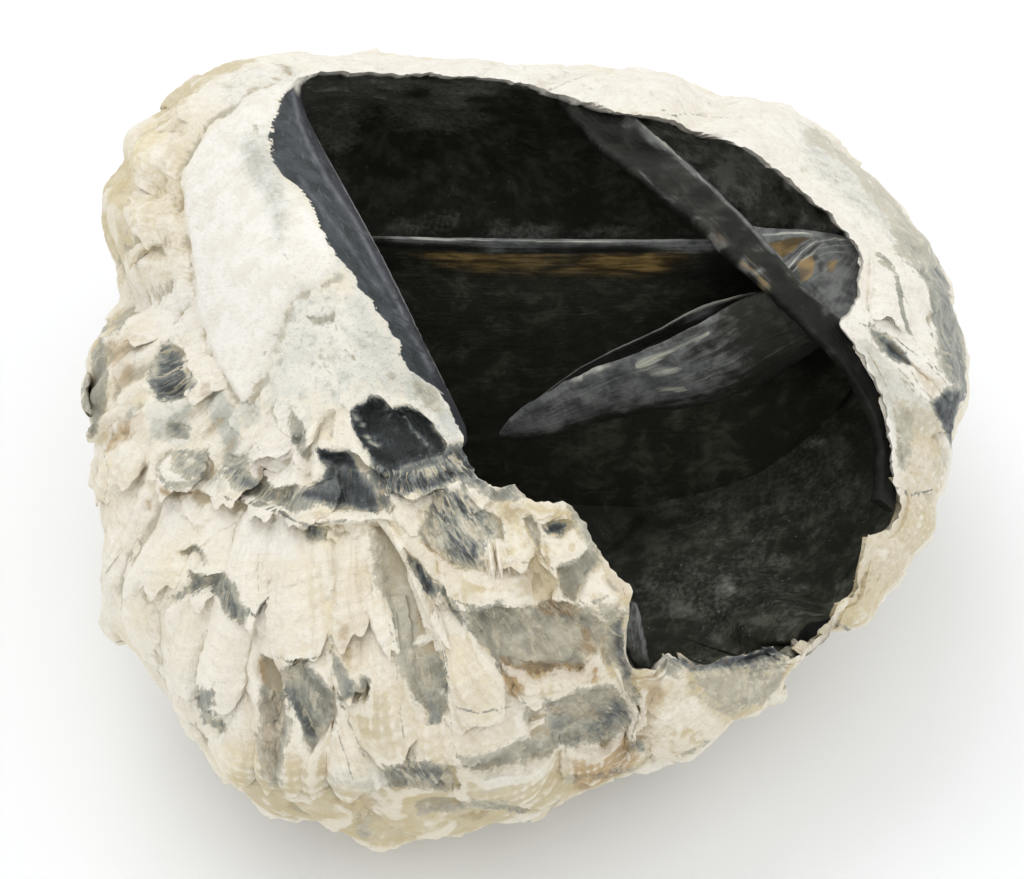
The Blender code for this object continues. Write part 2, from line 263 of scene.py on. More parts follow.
def to_sheet(p):
    """Where points of the body fall on the sheet, seen from the sight point."""
    p = np.asarray(p)
    t = SIGHT_DISTANCE / (SIGHT_DISTANCE - p @ OUT)
    q = SIGHT + (p - SIGHT) * t[:, None]
    return np.stack([CENTRE[0] + SCALE * (q @ RIGHT), CENTRE[1] - SCALE * (q @ UP)], axis=1)


def fit_ring():
    """Adjust the ring until the body's outline, seen from the sight point, is the outline drawn on the sheet."""
    global RING, RING_BROAD, RING_FINE
    turn = (np.arange(720) + 0.5) / 720 * 2 * math.pi
    tilt = np.linspace(-0.9, 1.1, 90)
    tilt, turn = (g.ravel() for g in np.meshgrid(tilt, turn))
    d = (np.cos(tilt) * np.cos(turn))[:, None] * RIGHT + (np.cos(tilt) * np.sin(turn))[:, None] * UP - np.sin(tilt)[:, None] * OUT
    for _ in range(4):
        uv = to_sheet(d * body_radius(d)[:, None])
        x, y = (uv[:, 0] - CENTRE[0]) / SCALE, (CENTRE[1] - uv[:, 1]) / SCALE
        place_ = (np.mod(np.arctan2(y, x), 2 * math.pi) / (2 * math.pi) * 720).astype(int) % 720
        seen_ = np.zeros(720)
        np.maximum.at(seen_, place_, np.hypot(x, y))
        seen_ = np.where(seen_ > 10, seen_, OUTLINE_RADIUS)
        RING = RING * np.clip(blurred((OUTLINE_RADIUS - OUTLINE_MARGIN) / seen_, 3), 0.9, 1.12)
        RING_BROAD = blurred(RING, 16)
        RING_FINE = blurred(RING, 2) - RING_BROAD


OUTLINE_MARGIN = 0.30      # left for the relief, in mm
fit_ring()


# ---------------------------------------------------------------- layout tools on the sheet
def depth_in(uv, polygon):
    """Signed distance to a polygon's edge, in sheet units, positive inside. Far points get -999."""
    poly = np.asarray(polygon, float)
    out = np.full(len(uv), -999.0)
    lo, hi = poly.min(0) - 60, poly.max(0) + 60
    near = np.where(((uv > lo) & (uv < hi)).all(axis=1))[0]
    if not len(near):
        return out
    p = uv[near]
    best = np.full(len(near), 1e9)
    inside = np.zeros(len(near), bool)
    for a, b in zip(poly, np.roll(poly, -1, axis=0)):
        e = b - a
        t = np.clip(((p - a) @ e) / max(e @ e, 1e-9), 0, 1)
        best = np.minimum(best, np.linalg.norm(p - a - t[:, None] * e, axis=1))
        crosses = (a[1] > p[:, 1]) != (b[1] > p[:, 1])
        with np.errstate(divide="ignore", invalid="ignore"):
            x = a[0] + (p[:, 1] - a[1]) / (b[1] - a[1]) * (b[0] - a[0])
        inside ^= crosses & (p[:, 0] < x)
    out[near] = np.where(inside, best, -best)
    return out


def path_distance(uv, path):
    """Distance to an open path, in sheet units."""
    line = np.asarray(path, float)
    best = np.full(len(uv), 999.0)
    lo, hi = line.min(0) - 80, line.max(0) + 80
    near = np.where(((uv > lo) & (uv < hi)).all(axis=1))[0]
    p = uv[near]
    b_ = np.full(len(near), 999.0)
    for a, b in zip(line[:-1], line[1:]):
        e = b - a
        t = np.clip(((p - a) @ e) / max(e @ e, 1e-9), 0, 1)
        b_ = np.minimum(b_, np.linalg.norm(p - a - t[:, None] * e, axis=1))
    best[near] = b_
    return best


# Fine pale seams on the broken edge of the lip, and paler spots on the hollow's lining.
LIP_SEAM = [(293, 92), (299, 122), (312, 152), (331, 186), (351, 215), (377, 264), (398, 304), (430, 368)]
LIP_SEAM_TWO = [(301, 178), (306, 190), (312, 196), (345, 240), (380, 290), (420, 350)]
BLOTCHES = [(700, 146, 50, 24, 0.75), (740, 176, 50, 30, 0.80), (782, 205, 40, 28, 0.62), (815, 226, 28, 14, 0.60), (670, 130, 32, 14, 0.70),
            (350, 92, 80, 26, 0.62), (420, 112, 80, 22, 0.50), (330, 130, 30, 30, 0.50), (470, 88, 60, 14, 0.45), (560, 232, 90, 10, 0.40),
            (420, 226, 50, 12, 0.34), (440, 360, 40, 90, 0.22), (720, 590, 90, 50, 0.26), (740, 500, 100, 60, 0.20), (820, 470, 50, 60, 0.22), (719, 170, 10, 6, 0.9), (738, 181, 9, 6, 0.7), (791, 182, 9, 7, 0.8), (803, 219, 11, 10, 0.8), (770, 205, 14, 10, 0.45),
            (750, 222, 16, 8, 0.35), (685, 452, 6, 5, 0.7), (826, 398, 8, 3, 0.8), (818, 442, 9, 4, 0.5), (726, 586, 12, 11, 0.6),
            (700, 536, 14, 8, 0.35), (712, 505, 10, 6, 0.4), (347, 96, 16, 10, 0.40), (344, 116, 20, 7, 0.45), (372, 92, 14, 9, 0.35),
            (426, 84, 12, 4, 0.5), (455, 105, 14, 8, 0.30), (406, 128, 14, 8, 0.30), (440, 215, 34, 8, 0.28), (500, 222, 12, 6, 0.25),
            (362, 138, 7, 2, 0.6), (452, 186, 12, 10, 0.22), (806, 586, 8, 8, 0.45), (780, 560, 12, 8, 0.3), (650, 490, 16, 10, 0.2)]

# The smooth white lamella of the crest.
CREST = [(298, 80), (278, 78), (250, 96), (220, 117), (192, 149), (180, 173), (182, 210), (188, 246), (193, 277), (196, 310),
         (208, 345), (226, 382), (242, 407), (252, 398), (264, 377), (283, 330), (296, 296), (320, 290), (340, 270),
         (336, 236), (312, 204), (284, 178), (271, 150), (282, 100)]

# Flakes of the outer face that stand proud: root and free end on the sheet, width at each, height of the free end
# in mm, swelling across in mm, sideways bend in sheet units, and how tan and how grey it is.
FLAKES = [
    (292, 516, 303, 658, 42, 64, 1.7, 1.1, 4, 0.15, 0), (256, 508, 257, 618, 32, 40, 1.4, 0.8, -2, 0.2, 0),
    (240, 588, 219, 706, 38, 54, 1.5, 1.0, 3, 0.1, 0), (198, 592, 188, 694, 36, 46, 1.2, 0.9, 0, 0.15, 0),
    (218, 512, 212, 602, 40, 50, 1.0, 0.7, 0, 0.1, 0), (178, 500, 160, 592, 46, 58, 1.0, 0.7, 0, 0.1, 0),
    (148, 536, 118, 640, 48, 58, 1.2, 0.8, -3, 0.25, 0), (166, 606, 152, 696, 42, 50, 1.1, 0.8, 0, 0.25, 0),
    (136, 470, 110, 562, 42, 52, 1.0, 0.7, 0, 0.35, 0), (310, 632, 324, 692, 28, 38, 1.2, 0.5, 0, 0.1, 0),
    (349, 694, 358, 788, 8, 60, 1.5, 1.2, 0, 0.1, 0), (288, 708, 300, 786, 22, 36, 1.2, 0.9, 0, 0.2, 0),
    (318, 726, 317, 788, 16, 28, 1.1, 0.8, 0, 0.2, 0), (254, 684, 236, 774, 34, 54, 1.3, 0.8, 0, 0.3, 0),
    (268, 712, 273, 784, 20, 38, 1.0, 0.8, 0, 0.35, 0), (212, 674, 202, 748, 34, 46, 1.1, 0.8, 0, 0.3, 0),
    (176, 672, 178, 728, 34, 40, 1.0, 0.7, 0, 0.4, 0), (346, 524, 350, 642, 34, 48, 1.1, 0.6, 4, 0.15, 0.1),
    (340, 606, 356, 694, 22, 36, 1.1, 0.8, 0, 0.3, 0.15), (382, 600, 396, 756, 34, 64, 1.5, 1.0, 0, 0.15, 0),
    (370, 512, 448, 640, 10, 15, 1.4, 0.6, 12, 0.1, 0), (362, 560, 396, 648, 12, 22, 1.1, 0.6, 0, 0.15, 0.3),
    (440, 590, 488, 716, 6, 76, 1.6, 0.9, 0, 0.1, 0), (490, 692, 486, 758, 62, 70, 1.3, 0.6, 0, 0.15, 0),
    (426, 690, 436, 772, 32, 44, 1.0, 0.6, 0, 0.2, 0.1), (238, 744, 262, 820, 50, 64, 1.4, 0.5, 0, 0.9, 0),
    (300, 766, 300, 822, 58, 68, 1.0, 0.5, 0, 0.6, 0.35), (348, 782, 360, 850, 44, 58, 1.4, 0.7, 0, 0.5, 0),
    (408, 796, 405, 854, 60, 74, 1.5, 0.6, 0, 0.7, 0), (456, 792, 458, 836, 72, 82, 1.4, 0.5, 0, 0.55, 0),
    (512, 732, 512, 794, 84, 92, 1.5, 0.6, 0, 0.25, 0), (540, 766, 536, 818, 66, 74, 1.3, 0.5, 0, 0.5, 0),
    (595, 718, 592, 772, 60, 68, 1.2, 0.5, 0, 0.35, 0), (560, 636, 562, 696, 92, 86, 1.2, 0.5, 0, 0.35, 0),
    (592, 754, 594, 792, 44, 50, 1.2, 0.5, 0, 0.9, 0), (662, 662, 694, 758, 60, 98, 1.6, 0.8, 0, 0.2, 0),
    (736, 664, 740, 730, 82, 86, 1.0, 0.4, 0, 0.5, 0.4), (690, 728, 690, 768, 40, 46, 1.0, 0.3, 0, 0.3, 0.7),
    (490, 550, 489, 611, 84, 94, 1.5, 0.5, 0, 0.1, 0), (590, 562, 592, 608, 58, 76, 1.4, 0.6, 0, 0.1, 0),
    (511, 516, 521, 566, 28, 38, 1.5, 0.6, 0, 0.1, 0), (556, 516, 562, 569, 40, 50, 1.5, 0.5, 0, 0.15, 0),
    (446, 540, 456, 600, 26, 34, 1.1, 0.5, 0, 0.2, 0), (478, 534, 487, 572, 6, 8, 1.2, 0.5, 1, 0.1, 0),
    (486, 532, 495, 573, 6, 8, 1.25, 0.5, 1, 0.1, 0), (494, 530, 503, 572, 6, 8, 1.3, 0.5, 1, 0.1, 0),
    (500, 526, 510, 568, 6, 8, 1.3, 0.5, 1, 0.1, 0), (602, 646, 636, 714, 10, 16, 1.3, 0.7, 4, 0.2, 0),
    (636, 700, 628, 752, 10, 14, 1.1, 0.6, 0, 0.5, 0), (162, 294, 140, 346, 46, 58, 1.1, 0.5, 0, 0.1, 0),
    (152, 232, 138, 270, 8, 14, 1.2, 0.6, 0, 0.9, 0), (150, 394, 98, 440, 15, 15, 2.1, 0.9, 0, 0.10, 0),
    (100, 318, 94, 412, 22, 26, 1.0, 0.5, 0, 0.3, 0.75), (146, 418, 122, 484, 40, 48, 1.0, 0.6, 0, 0.2, 0),
    (120, 430, 104, 500, 30, 38, 1.0, 0.5, 0, 0.3, 0.1), (156, 126, 112, 150, 40, 38, 1.2, 0.4, 0, 0.8, 0),
    (148, 184, 102, 196, 46, 46, 1.2, 0.4, 0, 0.7, 0), (146, 238, 108, 252, 38, 40, 1.2, 0.4, 0, 0.7, 0),
    (196, 92, 160, 74, 44, 40, 1.1, 0.4, 0, 0.6, 0), (250, 74, 228, 54, 52, 48, 1.0, 0.3, 0, 0.6, 0),
    (150, 290, 112, 300, 34, 36, 1.1, 0.4, 0, 0.4, 0), (180, 150, 140, 168, 50, 54, 0.9, 0.4, 0, 0.3, 0),
    (170, 210, 138, 226, 50, 50, 0.9, 0.4, 0, 0.25, 0), (220, 100, 186, 112, 40, 44, 0.9, 0.4, 0, 0.3, 0),
    (272, 416, 272, 459, 40, 50, 1.1, 0.3, 0, 0.15, 0), (316, 408, 306, 452, 16, 20, 0.9, 0.3, 0, 0.1, 0.2),
    (186, 432, 182, 495, 48, 58, 1.5, 0.5, 0, 0.25, 0.2), (236, 448, 237, 503, 42, 50, 1.3, 0.4, 0, 0.2, 0.1),
    (272, 466, 273, 515, 42, 48, 1.3, 0.4, 0, 0.2, 0), (312, 476, 313, 524, 42, 48, 1.2, 0.4, 0, 0.2, 0.1),
    (422, 456, 423, 495, 60, 66, 1.0, 0.3, 0, 0.2, 0.6), (208, 340, 206, 402, 40, 46, 0.9, 0.3, 0, 0.1, 0),
    (868, 256, 888, 328, 42, 46, 0.9, 0.3, 0, 0.05, 0), (906, 290, 926, 374, 28, 32, 0.9, 0.3, 0, 0.05, 0),
    (872, 314, 940, 398, 20, 32, 1.4, 0.2, 0, 0.05, 0.25), (866, 350, 938, 430, 44, 66, 1.2, 0.4, 0, 0.25, 0.15),
    (884, 420, 936, 478, 60, 68, 1.1, 0.5, 0, 0.45, 0.1), (886, 512, 926, 528, 60, 60, 1.1, 0.4, 0, 0.55, 0),
    (868, 556, 908, 574, 56, 54, 1.1, 0.4, 0, 0.6, 0), (850, 596, 876, 626, 54, 50, 1.1, 0.4, 0, 0.6, 0),
    (946, 376, 957, 444, 24, 28, 1.0, 0.2, 0, 0.05, 0.95), 
    (760, 118, 800, 116, 40, 50, 0.8, 0.3, 0, 0.3, 0.1),
]

# Hollows: corners, depth in mm.
HOLLOWS = [
    ([(350, 411), (356, 405), (366, 401), (370, 395), (378, 395), (390, 408), (393, 404), (403, 404), (419, 413),
      (431, 423), (438, 436), (444, 445), (441, 453), (416, 461), (393, 468), (375, 461), (363, 450), (355, 435),
      (350, 423)], 2.2),
    ([(318, 453), (340, 450), (358, 454), (380, 484), (382, 512), (360, 517), (330, 512), (300, 502), (302, 488),
      (330, 478), (320, 466)], 1.3),
    ([(224, 470), (250, 464), (280, 476), (298, 492), (294, 508), (262, 502), (236, 494)], 1.0),
    ([(158, 350), (168, 340), (186, 356), (196, 380), (188, 398), (170, 402), (154, 386)], 0.9),
    ([(286, 668), (306, 660), (330, 676), (338, 712), (330, 746), (308, 742), (292, 712)], 1.0),
    ([(526, 718), (560, 696), (600, 690), (628, 700), (628, 724), (600, 738), (560, 746), (532, 744)], 1.1),
    ([(371, 530), (388, 530), (404, 570), (424, 640), (404, 650), (386, 600)], 1.0),
    ([(256, 655), (280, 660), (286, 700), (276, 722), (262, 700)], 1.0),
    ([(404, 648), (438, 646), (442, 690), (418, 700), (406, 680)], 0.8),
    ([(544, 524), (560, 518), (576, 524), (568, 536), (552, 537)], 0.9),
    ([(936, 388), (956, 392), (952, 440), (940, 430)], 0.8),
    ([(386, 768), (440, 764), (440, 785), (392, 788)], 0.8),
]


def shingles(r, turn, step, width, seed):
    """Overlapping growth plates: how far the free edge of the plate on top is, and its number."""
    best = np.full(r.shape, 1e9)
    tag = np.zeros(r.shape)
    row = np.floor(r / step)
    for k in (-1, 0, 1):
        i = row + k
        about = np.clip((i + 0.5) * step / 38.0, 0.05, 1.5)
        count = np.maximum(6, np.round(2 * math.pi * 38.0 * np.sin(about) / width))
        s = turn / (2 * math.pi) * count + 7 * hashed(i, 0 * i, 0 * i, seed)
        j = np.floor(s)
        f = s - j - 0.5
        edge = (i + 1 + 0.9 * (hashed(i, j, 0 * i, seed + 1) - 0.5) - 0.35 * (f * f * 4 - 0.4)) * step
        top = (edge >= r) & (edge < best)
        best = np.where(top, edge, best)
        tag = np.where(top, hashed(i, j, 0 * i, seed + 2), tag)
    best = np.where(best > 1e8, r + step, best)
    return best - r, tag


CREST_AT = (322, 285)


def growth_place(p):
    """Distance from the crest over the body, in mm, and the turn about it (0 towards -Y)."""
    axis = unit(on_body([CREST_AT]))[0]
    d = unit(p)
    side = unit(np.cross(axis, UP))
    ahead = np.cross(side, axis)
    r = np.arccos(np.clip(d @ axis, -1, 1)) * 38.0
    return r, np.arctan2(d @ side, -(d @ ahead))


def outer_detail(d):
    """Height of the outer face's relief in mm, and the masks that the finish is driven by."""
    p = d * body_radius(d)[:, None]
    uv = to_sheet(p)
    towards = unit(SIGHT - p)
    axes2 = np.array([HALF_WIDTH, HALF_LENGTH, HALF_HEIGHT]) ** 2
    facing = (unit(p / axes2) * towards).sum(1)
    seen = smooth(facing, -0.12, 0.12)
    r, turn = growth_place(p)
    ragged = 0.70 * noise(p, 2.9, 5) + 0.26 * noise(p, 1.1, 6) + 0.14 * noise(p, 0.5, 7)
    bend = 1.8 * noise(p, 9.0, 8)
    tr = turn + 0.05 * noise(p, 4.0, 9)

    crest = smooth(depth_in(uv, CREST), -2, 12) * seen
    zone = 1 - 0.95 * crest
    speckled = smooth(depth_in(uv, [(262, 378), (290, 322), (300, 250), (280, 190), (272, 165), (320, 212), (366, 280),
                                    (404, 338), (446, 392), (464, 434), (440, 440), (400, 400), (350, 396), (300, 420),
                                    (270, 400)]), -14, 8) * seen * (1 - crest)
    right = smooth(uv[:, 0], 640, 720) * smooth(620 - uv[:, 1], 0, 60) * seen
    top = smooth(130 - uv[:, 1], 0, 40) * seen * (1 - right)
    strength = zone * (1 - 0.45 * speckled) * (1 - 0.45 * right) * (1 - 0.4 * top) * (1 - 0.48 * seen)

    h = np.zeros(len(d))
    fringe = np.zeros(len(d))
    for step, width, rise, seed in ((9.0, 7.5, 0.8, 21), (4.4, 4.2, 0.65, 41), (2.0, 2.4, 0.34, 61)):
        gap, tag = shingles(r + bend + ragged * min(1.0, step / 4.0), tr, step, width, seed)
        lift_ = rise * (0.25 + 0.75 * tag) * np.clip(1 - gap / (1.25 * step), 0, 1)
        h += lift_ * strength
        fringe = np.maximum(fringe, np.exp(-gap / 0.40) * smooth(lift_, 0.12, 0.45) * strength)
    h -= 0.75 * strength
    rib = np.sin(turn * 190 + 2.5 * noise(p, 3.0, 11)) * (0.5 + 0.5 * noise(p, 5.0, 12))
    h += 0.10 * rib * strength * smooth(r, 8, 18)
    fold = np.sin(turn * 34 + 1.5 * noise(p, 7.0, 13))
    h += (0.32 + 0.30 * seen) * fold * strength * smooth(r, 12, 24)
    h += (0.05 + 0.13 * zone) * layered(p, 1.4, 3, 31) + 0.20 * noise(p, 3.4, 33) * zone
    h += speckled * (0.30 * np.minimum(layered(p, 0.9, 2, 35), 0.15) + 0.25 * noise(p, 2.2, 36))
    share = np.clip((uv @ np.array([-0.75, 0.5]) + 150) / 250, 0, 1)
    h = h * (1 - crest) + (0.15 * h + 0.35 + 0.55 * share) * crest
    wobble = np.stack([2.6 * noise(p, 1.3, 71) + 3.5 * noise(p, 3.0, 72), 2.6 * noise(p, 1.3, 73) + 3.5 * noise(p, 3.0, 74)], 1)
    hollow = np.zeros(len(d))
    for corners, depth in HOLLOWS:
        m = smooth(depth_in(uv + wobble * 0.8, corners), -1.5, 3.0) * seen
        h = h * (1 - m) + (-depth + 0.25 * noise(p, 1.2, 81) + 0.25 * h) * m
        hollow = np.maximum(hollow, m)
    h -= 0.35 * bared(p) * (1 - hollow)
    groove = path_distance(uv + 0.5 * wobble, [(284, 70), (248, 90), (214, 114), (186, 147), (175, 173), (178, 212), (184, 250), (190, 290)])
    h -= 0.45 * np.exp(-(groove / 5.5) ** 2) * seen
    ledge = path_distance(uv + wobble, [(150, 400), (158, 450), (165, 480), (206, 492), (226, 500), (261, 507), (287, 520),
                                        (313, 524), (379, 520)])
    below = smooth(uv[:, 1] - np.interp(uv[:, 0], [150, 206, 261, 313, 379], [480, 492, 507, 524, 520]), -1, 3)
    h += seen * np.exp(-(ledge / 16.0) ** 2) * (0.7 - 1.3 * below) * 0.7
    return dict(p=p, uv=uv, seen=seen, h=h, fringe=fringe, crest=crest, speckled=speckled, right=right, top=top,
                hollow=hollow, r=r, turn=turn, strength=strength)


# ---------------------------------------------------------------- meshes
def place(points):
    return (np.asarray(points) + TO_PART) * 0.001


def mesh_object(name, verts, faces, material):
    mesh = bpy.data.meshes.new(name)
    mesh.from_pydata([tuple(v) for v in place(verts)], [], faces)
    mesh.validate()
    bm = bmesh.new()
    bm.from_mesh(mesh)
    bmesh.ops.recalc_face_normals(bm, faces=bm.faces)
    if bm.calc_volume(signed=True) < 0:
        bmesh.ops.reverse_faces(bm, faces=bm.faces)
    bm.to_mesh(mesh)
    bm.free()
    obj = bpy.data.objects.new(name, mesh)
    bpy.context.scene.collection.objects.link(obj)
    mesh.materials.append(material)
    mesh.shade_smooth()
    mesh.set_sharp_from_angle(angle=math.radians(50))
    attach(obj, "root")
    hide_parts("shell")
    return obj


def thin_out(obj, most, keep):
    """Bring a mesh down to a number of triangles, less where keep (0 to 1 at each vertex) is high."""
    triangles = sum(len(f.vertices) - 2 for f in obj.data.polygons)
    if triangles <= most:
        return
    cut = obj.modifiers.new("thin_out", "DECIMATE")
    cut.ratio = most / triangles
    group = obj.vertex_groups.new(name="thin_here")
    level = np.round((1 - np.clip(keep, 0, 1)) * 4).astype(int)
    for step in range(5):
        group.add(np.where(level == step)[0].tolist(), 0.1 + 0.9 * step / 4.0, "REPLACE")
    cut.vertex_group, cut.vertex_group_factor = "thin_here", KEEP_FACTOR
    bpy.context.view_layer.update()
    depsgraph = bpy.context.evaluated_depsgraph_get()
    thin = bpy.data.meshes.new_from_object(obj.evaluated_get(depsgraph))
    obj.modifiers.clear()
    obj.vertex_groups.clear()
    old, name = obj.data, obj.data.name
    obj.data = thin
    bpy.data.meshes.remove(old)
    obj.data.name = name
    obj.data.shade_smooth()
    obj.data.set_sharp_from_angle(angle=math.radians(50))


def open_to_view(obj):
    """How far each vertex of the outside faces the sight point."""
    p = vertex_places(obj)
    return smooth((unit(p / np.array([HALF_WIDTH, HALF_LENGTH, HALF_HEIGHT]) ** 2) * unit(SIGHT - p)).sum(1), -0.15, 0.20)


def read_paint(obj, name):
    values = np.zeros(len(obj.data.vertices) * 4, np.float32)
    obj.data.color_attributes[name].data.foreach_get("color", values)
    return values.reshape(-1, 4).astype(float)


def grid_faces(rows, cols, start=0, around=True):
    """Quads between rings of cols vertices, rows rings."""
    i = np.arange(rows - 1)[:, None]
    j = np.arange(cols if around else cols - 1)[None]
    k = (j + 1) % cols
    a = start + i * cols + j
    b = start + (i + 1) * cols + j
    c = start + (i + 1) * cols + k
    d = start + i * cols + k
    return np.stack([a, b, c, d], -1).reshape(-1, 4)


def paint(obj, name, rgb):
    """A per-vertex layer of three numbers."""
    layer = obj.data.color_attributes.new(name=name, type="FLOAT_COLOR", domain="POINT")
    data = np.ones((len(obj.data.vertices), 4), np.float32)
    data[:, :3] = np.asarray(rgb).T if np.asarray(rgb).shape[0] == 3 and np.asarray(rgb).ndim == 2 else rgb
    layer.data.foreach_set("color", data.ravel())


def vertex_places(obj):
    co = np.zeros(len(obj.data.vertices) * 3, np.float32)
    obj.data.vertices.foreach_get("co", co)
    return co.reshape(-1, 3).astype(float) * 1000 - TO_PART


def axis_frame():
    pole = unit(on_body([BREAK_CENTRE]))[0]
    side = unit(np.cross(UP, pole))
    return pole, side, np.cross(pole, side)


def polar(points, frame_):
    pole, side, top = frame_
    d = unit(points)
    return np.arctan2(d @ top, d @ side), np.arccos(np.clip(d @ pole, -1, 1))


def direction(turn, away, frame_):
    pole, side, top = frame_
    turn, away = np.asarray(turn)[..., None], np.asarray(away)[..., None]
    return np.cos(away) * pole + np.sin(away) * (np.cos(turn) * side + np.sin(turn) * top)


def rim_places():
    """The rim's columns: turn and angle away for the outer edge, and angle away for the inner one."""
    axes = axis_frame()
    edge = resample(BREAK + BREAK[:1], COLUMNS + 1)[:-1]
    ahead = np.roll(edge, -1, axis=0) - np.roll(edge, 1, axis=0)
    side = np.stack([ahead[:, 1], -ahead[:, 0]], 1) / np.linalg.norm(ahead, axis=1, keepdims=True)
    at = np.concatenate([edge / SCALE, np.zeros((COLUMNS, 1))], 1)
    calm = np.where((edge[:, 0] < 470) & (edge[:, 1] > 190), 0.8, 1.0) * np.where((edge[:, 0] < 310) & (edge[:, 1] < 190), 0.3, 1.0) * np.where(edge[:, 1] < 105, 0.6, 1.0)
    edge = edge + side * (calm * (2.4 * noise(at, 1.4, 91) + 1.6 * noise(at, 0.6, 92) + 1.0 * noise(at, 0.28, 93)))[:, None]
    turn, away = polar(on_body(edge), axes)
    turn = np.unwrap(turn)
    if turn[-1] < turn[0]:
        turn, away = turn[::-1], away[::-1]
    for i in range(1, COLUMNS):
        turn[i] = max(turn[i], turn[i - 1] + 0.0002)
    even = turn[0] + np.arange(COLUMNS) * 2 * math.pi / COLUMNS
    even += (turn - even).mean()
    # The wall thins where it turns over, and the inner edge hides behind the outer one, except along the lip.
    heart = np.array(BREAK_CENTRE, float)

    def around(uv):
        q = uv - heart
        return np.arctan2(-q[:, 1], q[:, 0]), np.linalg.norm(q, axis=1)

    rim_uv = to_sheet(direction(turn, away, axes) * body_radius(direction(turn, away, axes))[:, None])
    x, y = (rim_uv[:, 0] - CENTRE[0]) / SCALE, (CENTRE[1] - rim_uv[:, 1]) / SCALE
    margin = ring_value(OUTLINE_RADIUS, np.arctan2(y, x)) - OUTLINE_MARGIN - np.hypot(x, y)
    thick = blurred(np.clip(0.62 * margin - 0.25, 0.30, 2.4), max(2, COLUMNS // 150))
    rim_at, rim_off = around(rim_uv)
    order = np.argsort(rim_at)
    lip_at, lip_off = around(resample(LIP, 200))
    opposite = math.atan2(np.sin(lip_at).mean(), np.cos(lip_at).mean()) + math.pi
    lip_from = np.mod(lip_at - opposite, 2 * math.pi)
    lip_order = np.argsort(lip_from)
    first, last = lip_from.min(), lip_from.max()
    inside = smooth(np.mod(rim_at - opposite, 2 * math.pi), first - 0.02, first + 0.06) * (
        1 - smooth(np.mod(rim_at - opposite, 2 * math.pi), last - 0.03, last + 0.01))
    deep = 4.6 * inside + thick * (1 - inside)
    low, high = away - 0.42, away + 0.30
    for _ in range(26):
        middle = (low + high) / 2
        d = direction(turn, middle, axes)
        at, off = around(to_sheet(d * (body_radius(d) - deep)[:, None]))
        hide = np.interp(at, rim_at[order], rim_off[order], period=2 * math.pi) + 1.5
        where = np.mod(at - opposite, 2 * math.pi)
        share = smooth(where, first - 0.03, first + 0.03) * (1 - smooth(where, last - 0.03, last + 0.02))
        goal = hide * (1 - share) + np.minimum(np.interp(where, lip_from[lip_order], lip_off[lip_order]), hide) * share
        low, high = np.where(off < goal, middle, low), np.where(off < goal, high, middle)
    inner = blurred((low + high) / 2, 2)
    return axes, turn, away, even, inner, inside, thick


def soaked(grid, reach, around=True):
    """A grid's values, averaged over reach places each way."""
    for axis in (0, 1):
        total = np.zeros_like(grid)
        for k in range(-reach, reach + 1):
            if axis == 1 and around:
                total += np.roll(grid, k, axis=1)
            else:
                places = np.clip(np.arange(grid.shape[axis]) + k, 0, grid.shape[axis] - 1)
                total += np.take(grid, places, axis=axis)
        grid = total / (2 * reach + 1)
    return grid


def crevice(grid, near, wide, around=True):
    """0.5 where the relief is even, towards 1 in crevices and towards 0 on ridges; the finishes use it to paint shade
    into crevices and a highlight onto ridges.
    """
    crevice_shade = 0.6 * (soaked(grid, near, around) - grid) + 0.7 * (soaked(grid, wide, around) - soaked(grid, max(1, near // 2), around))
    return np.clip(0.5 + crevice_shade / 0.5, 0, 1)


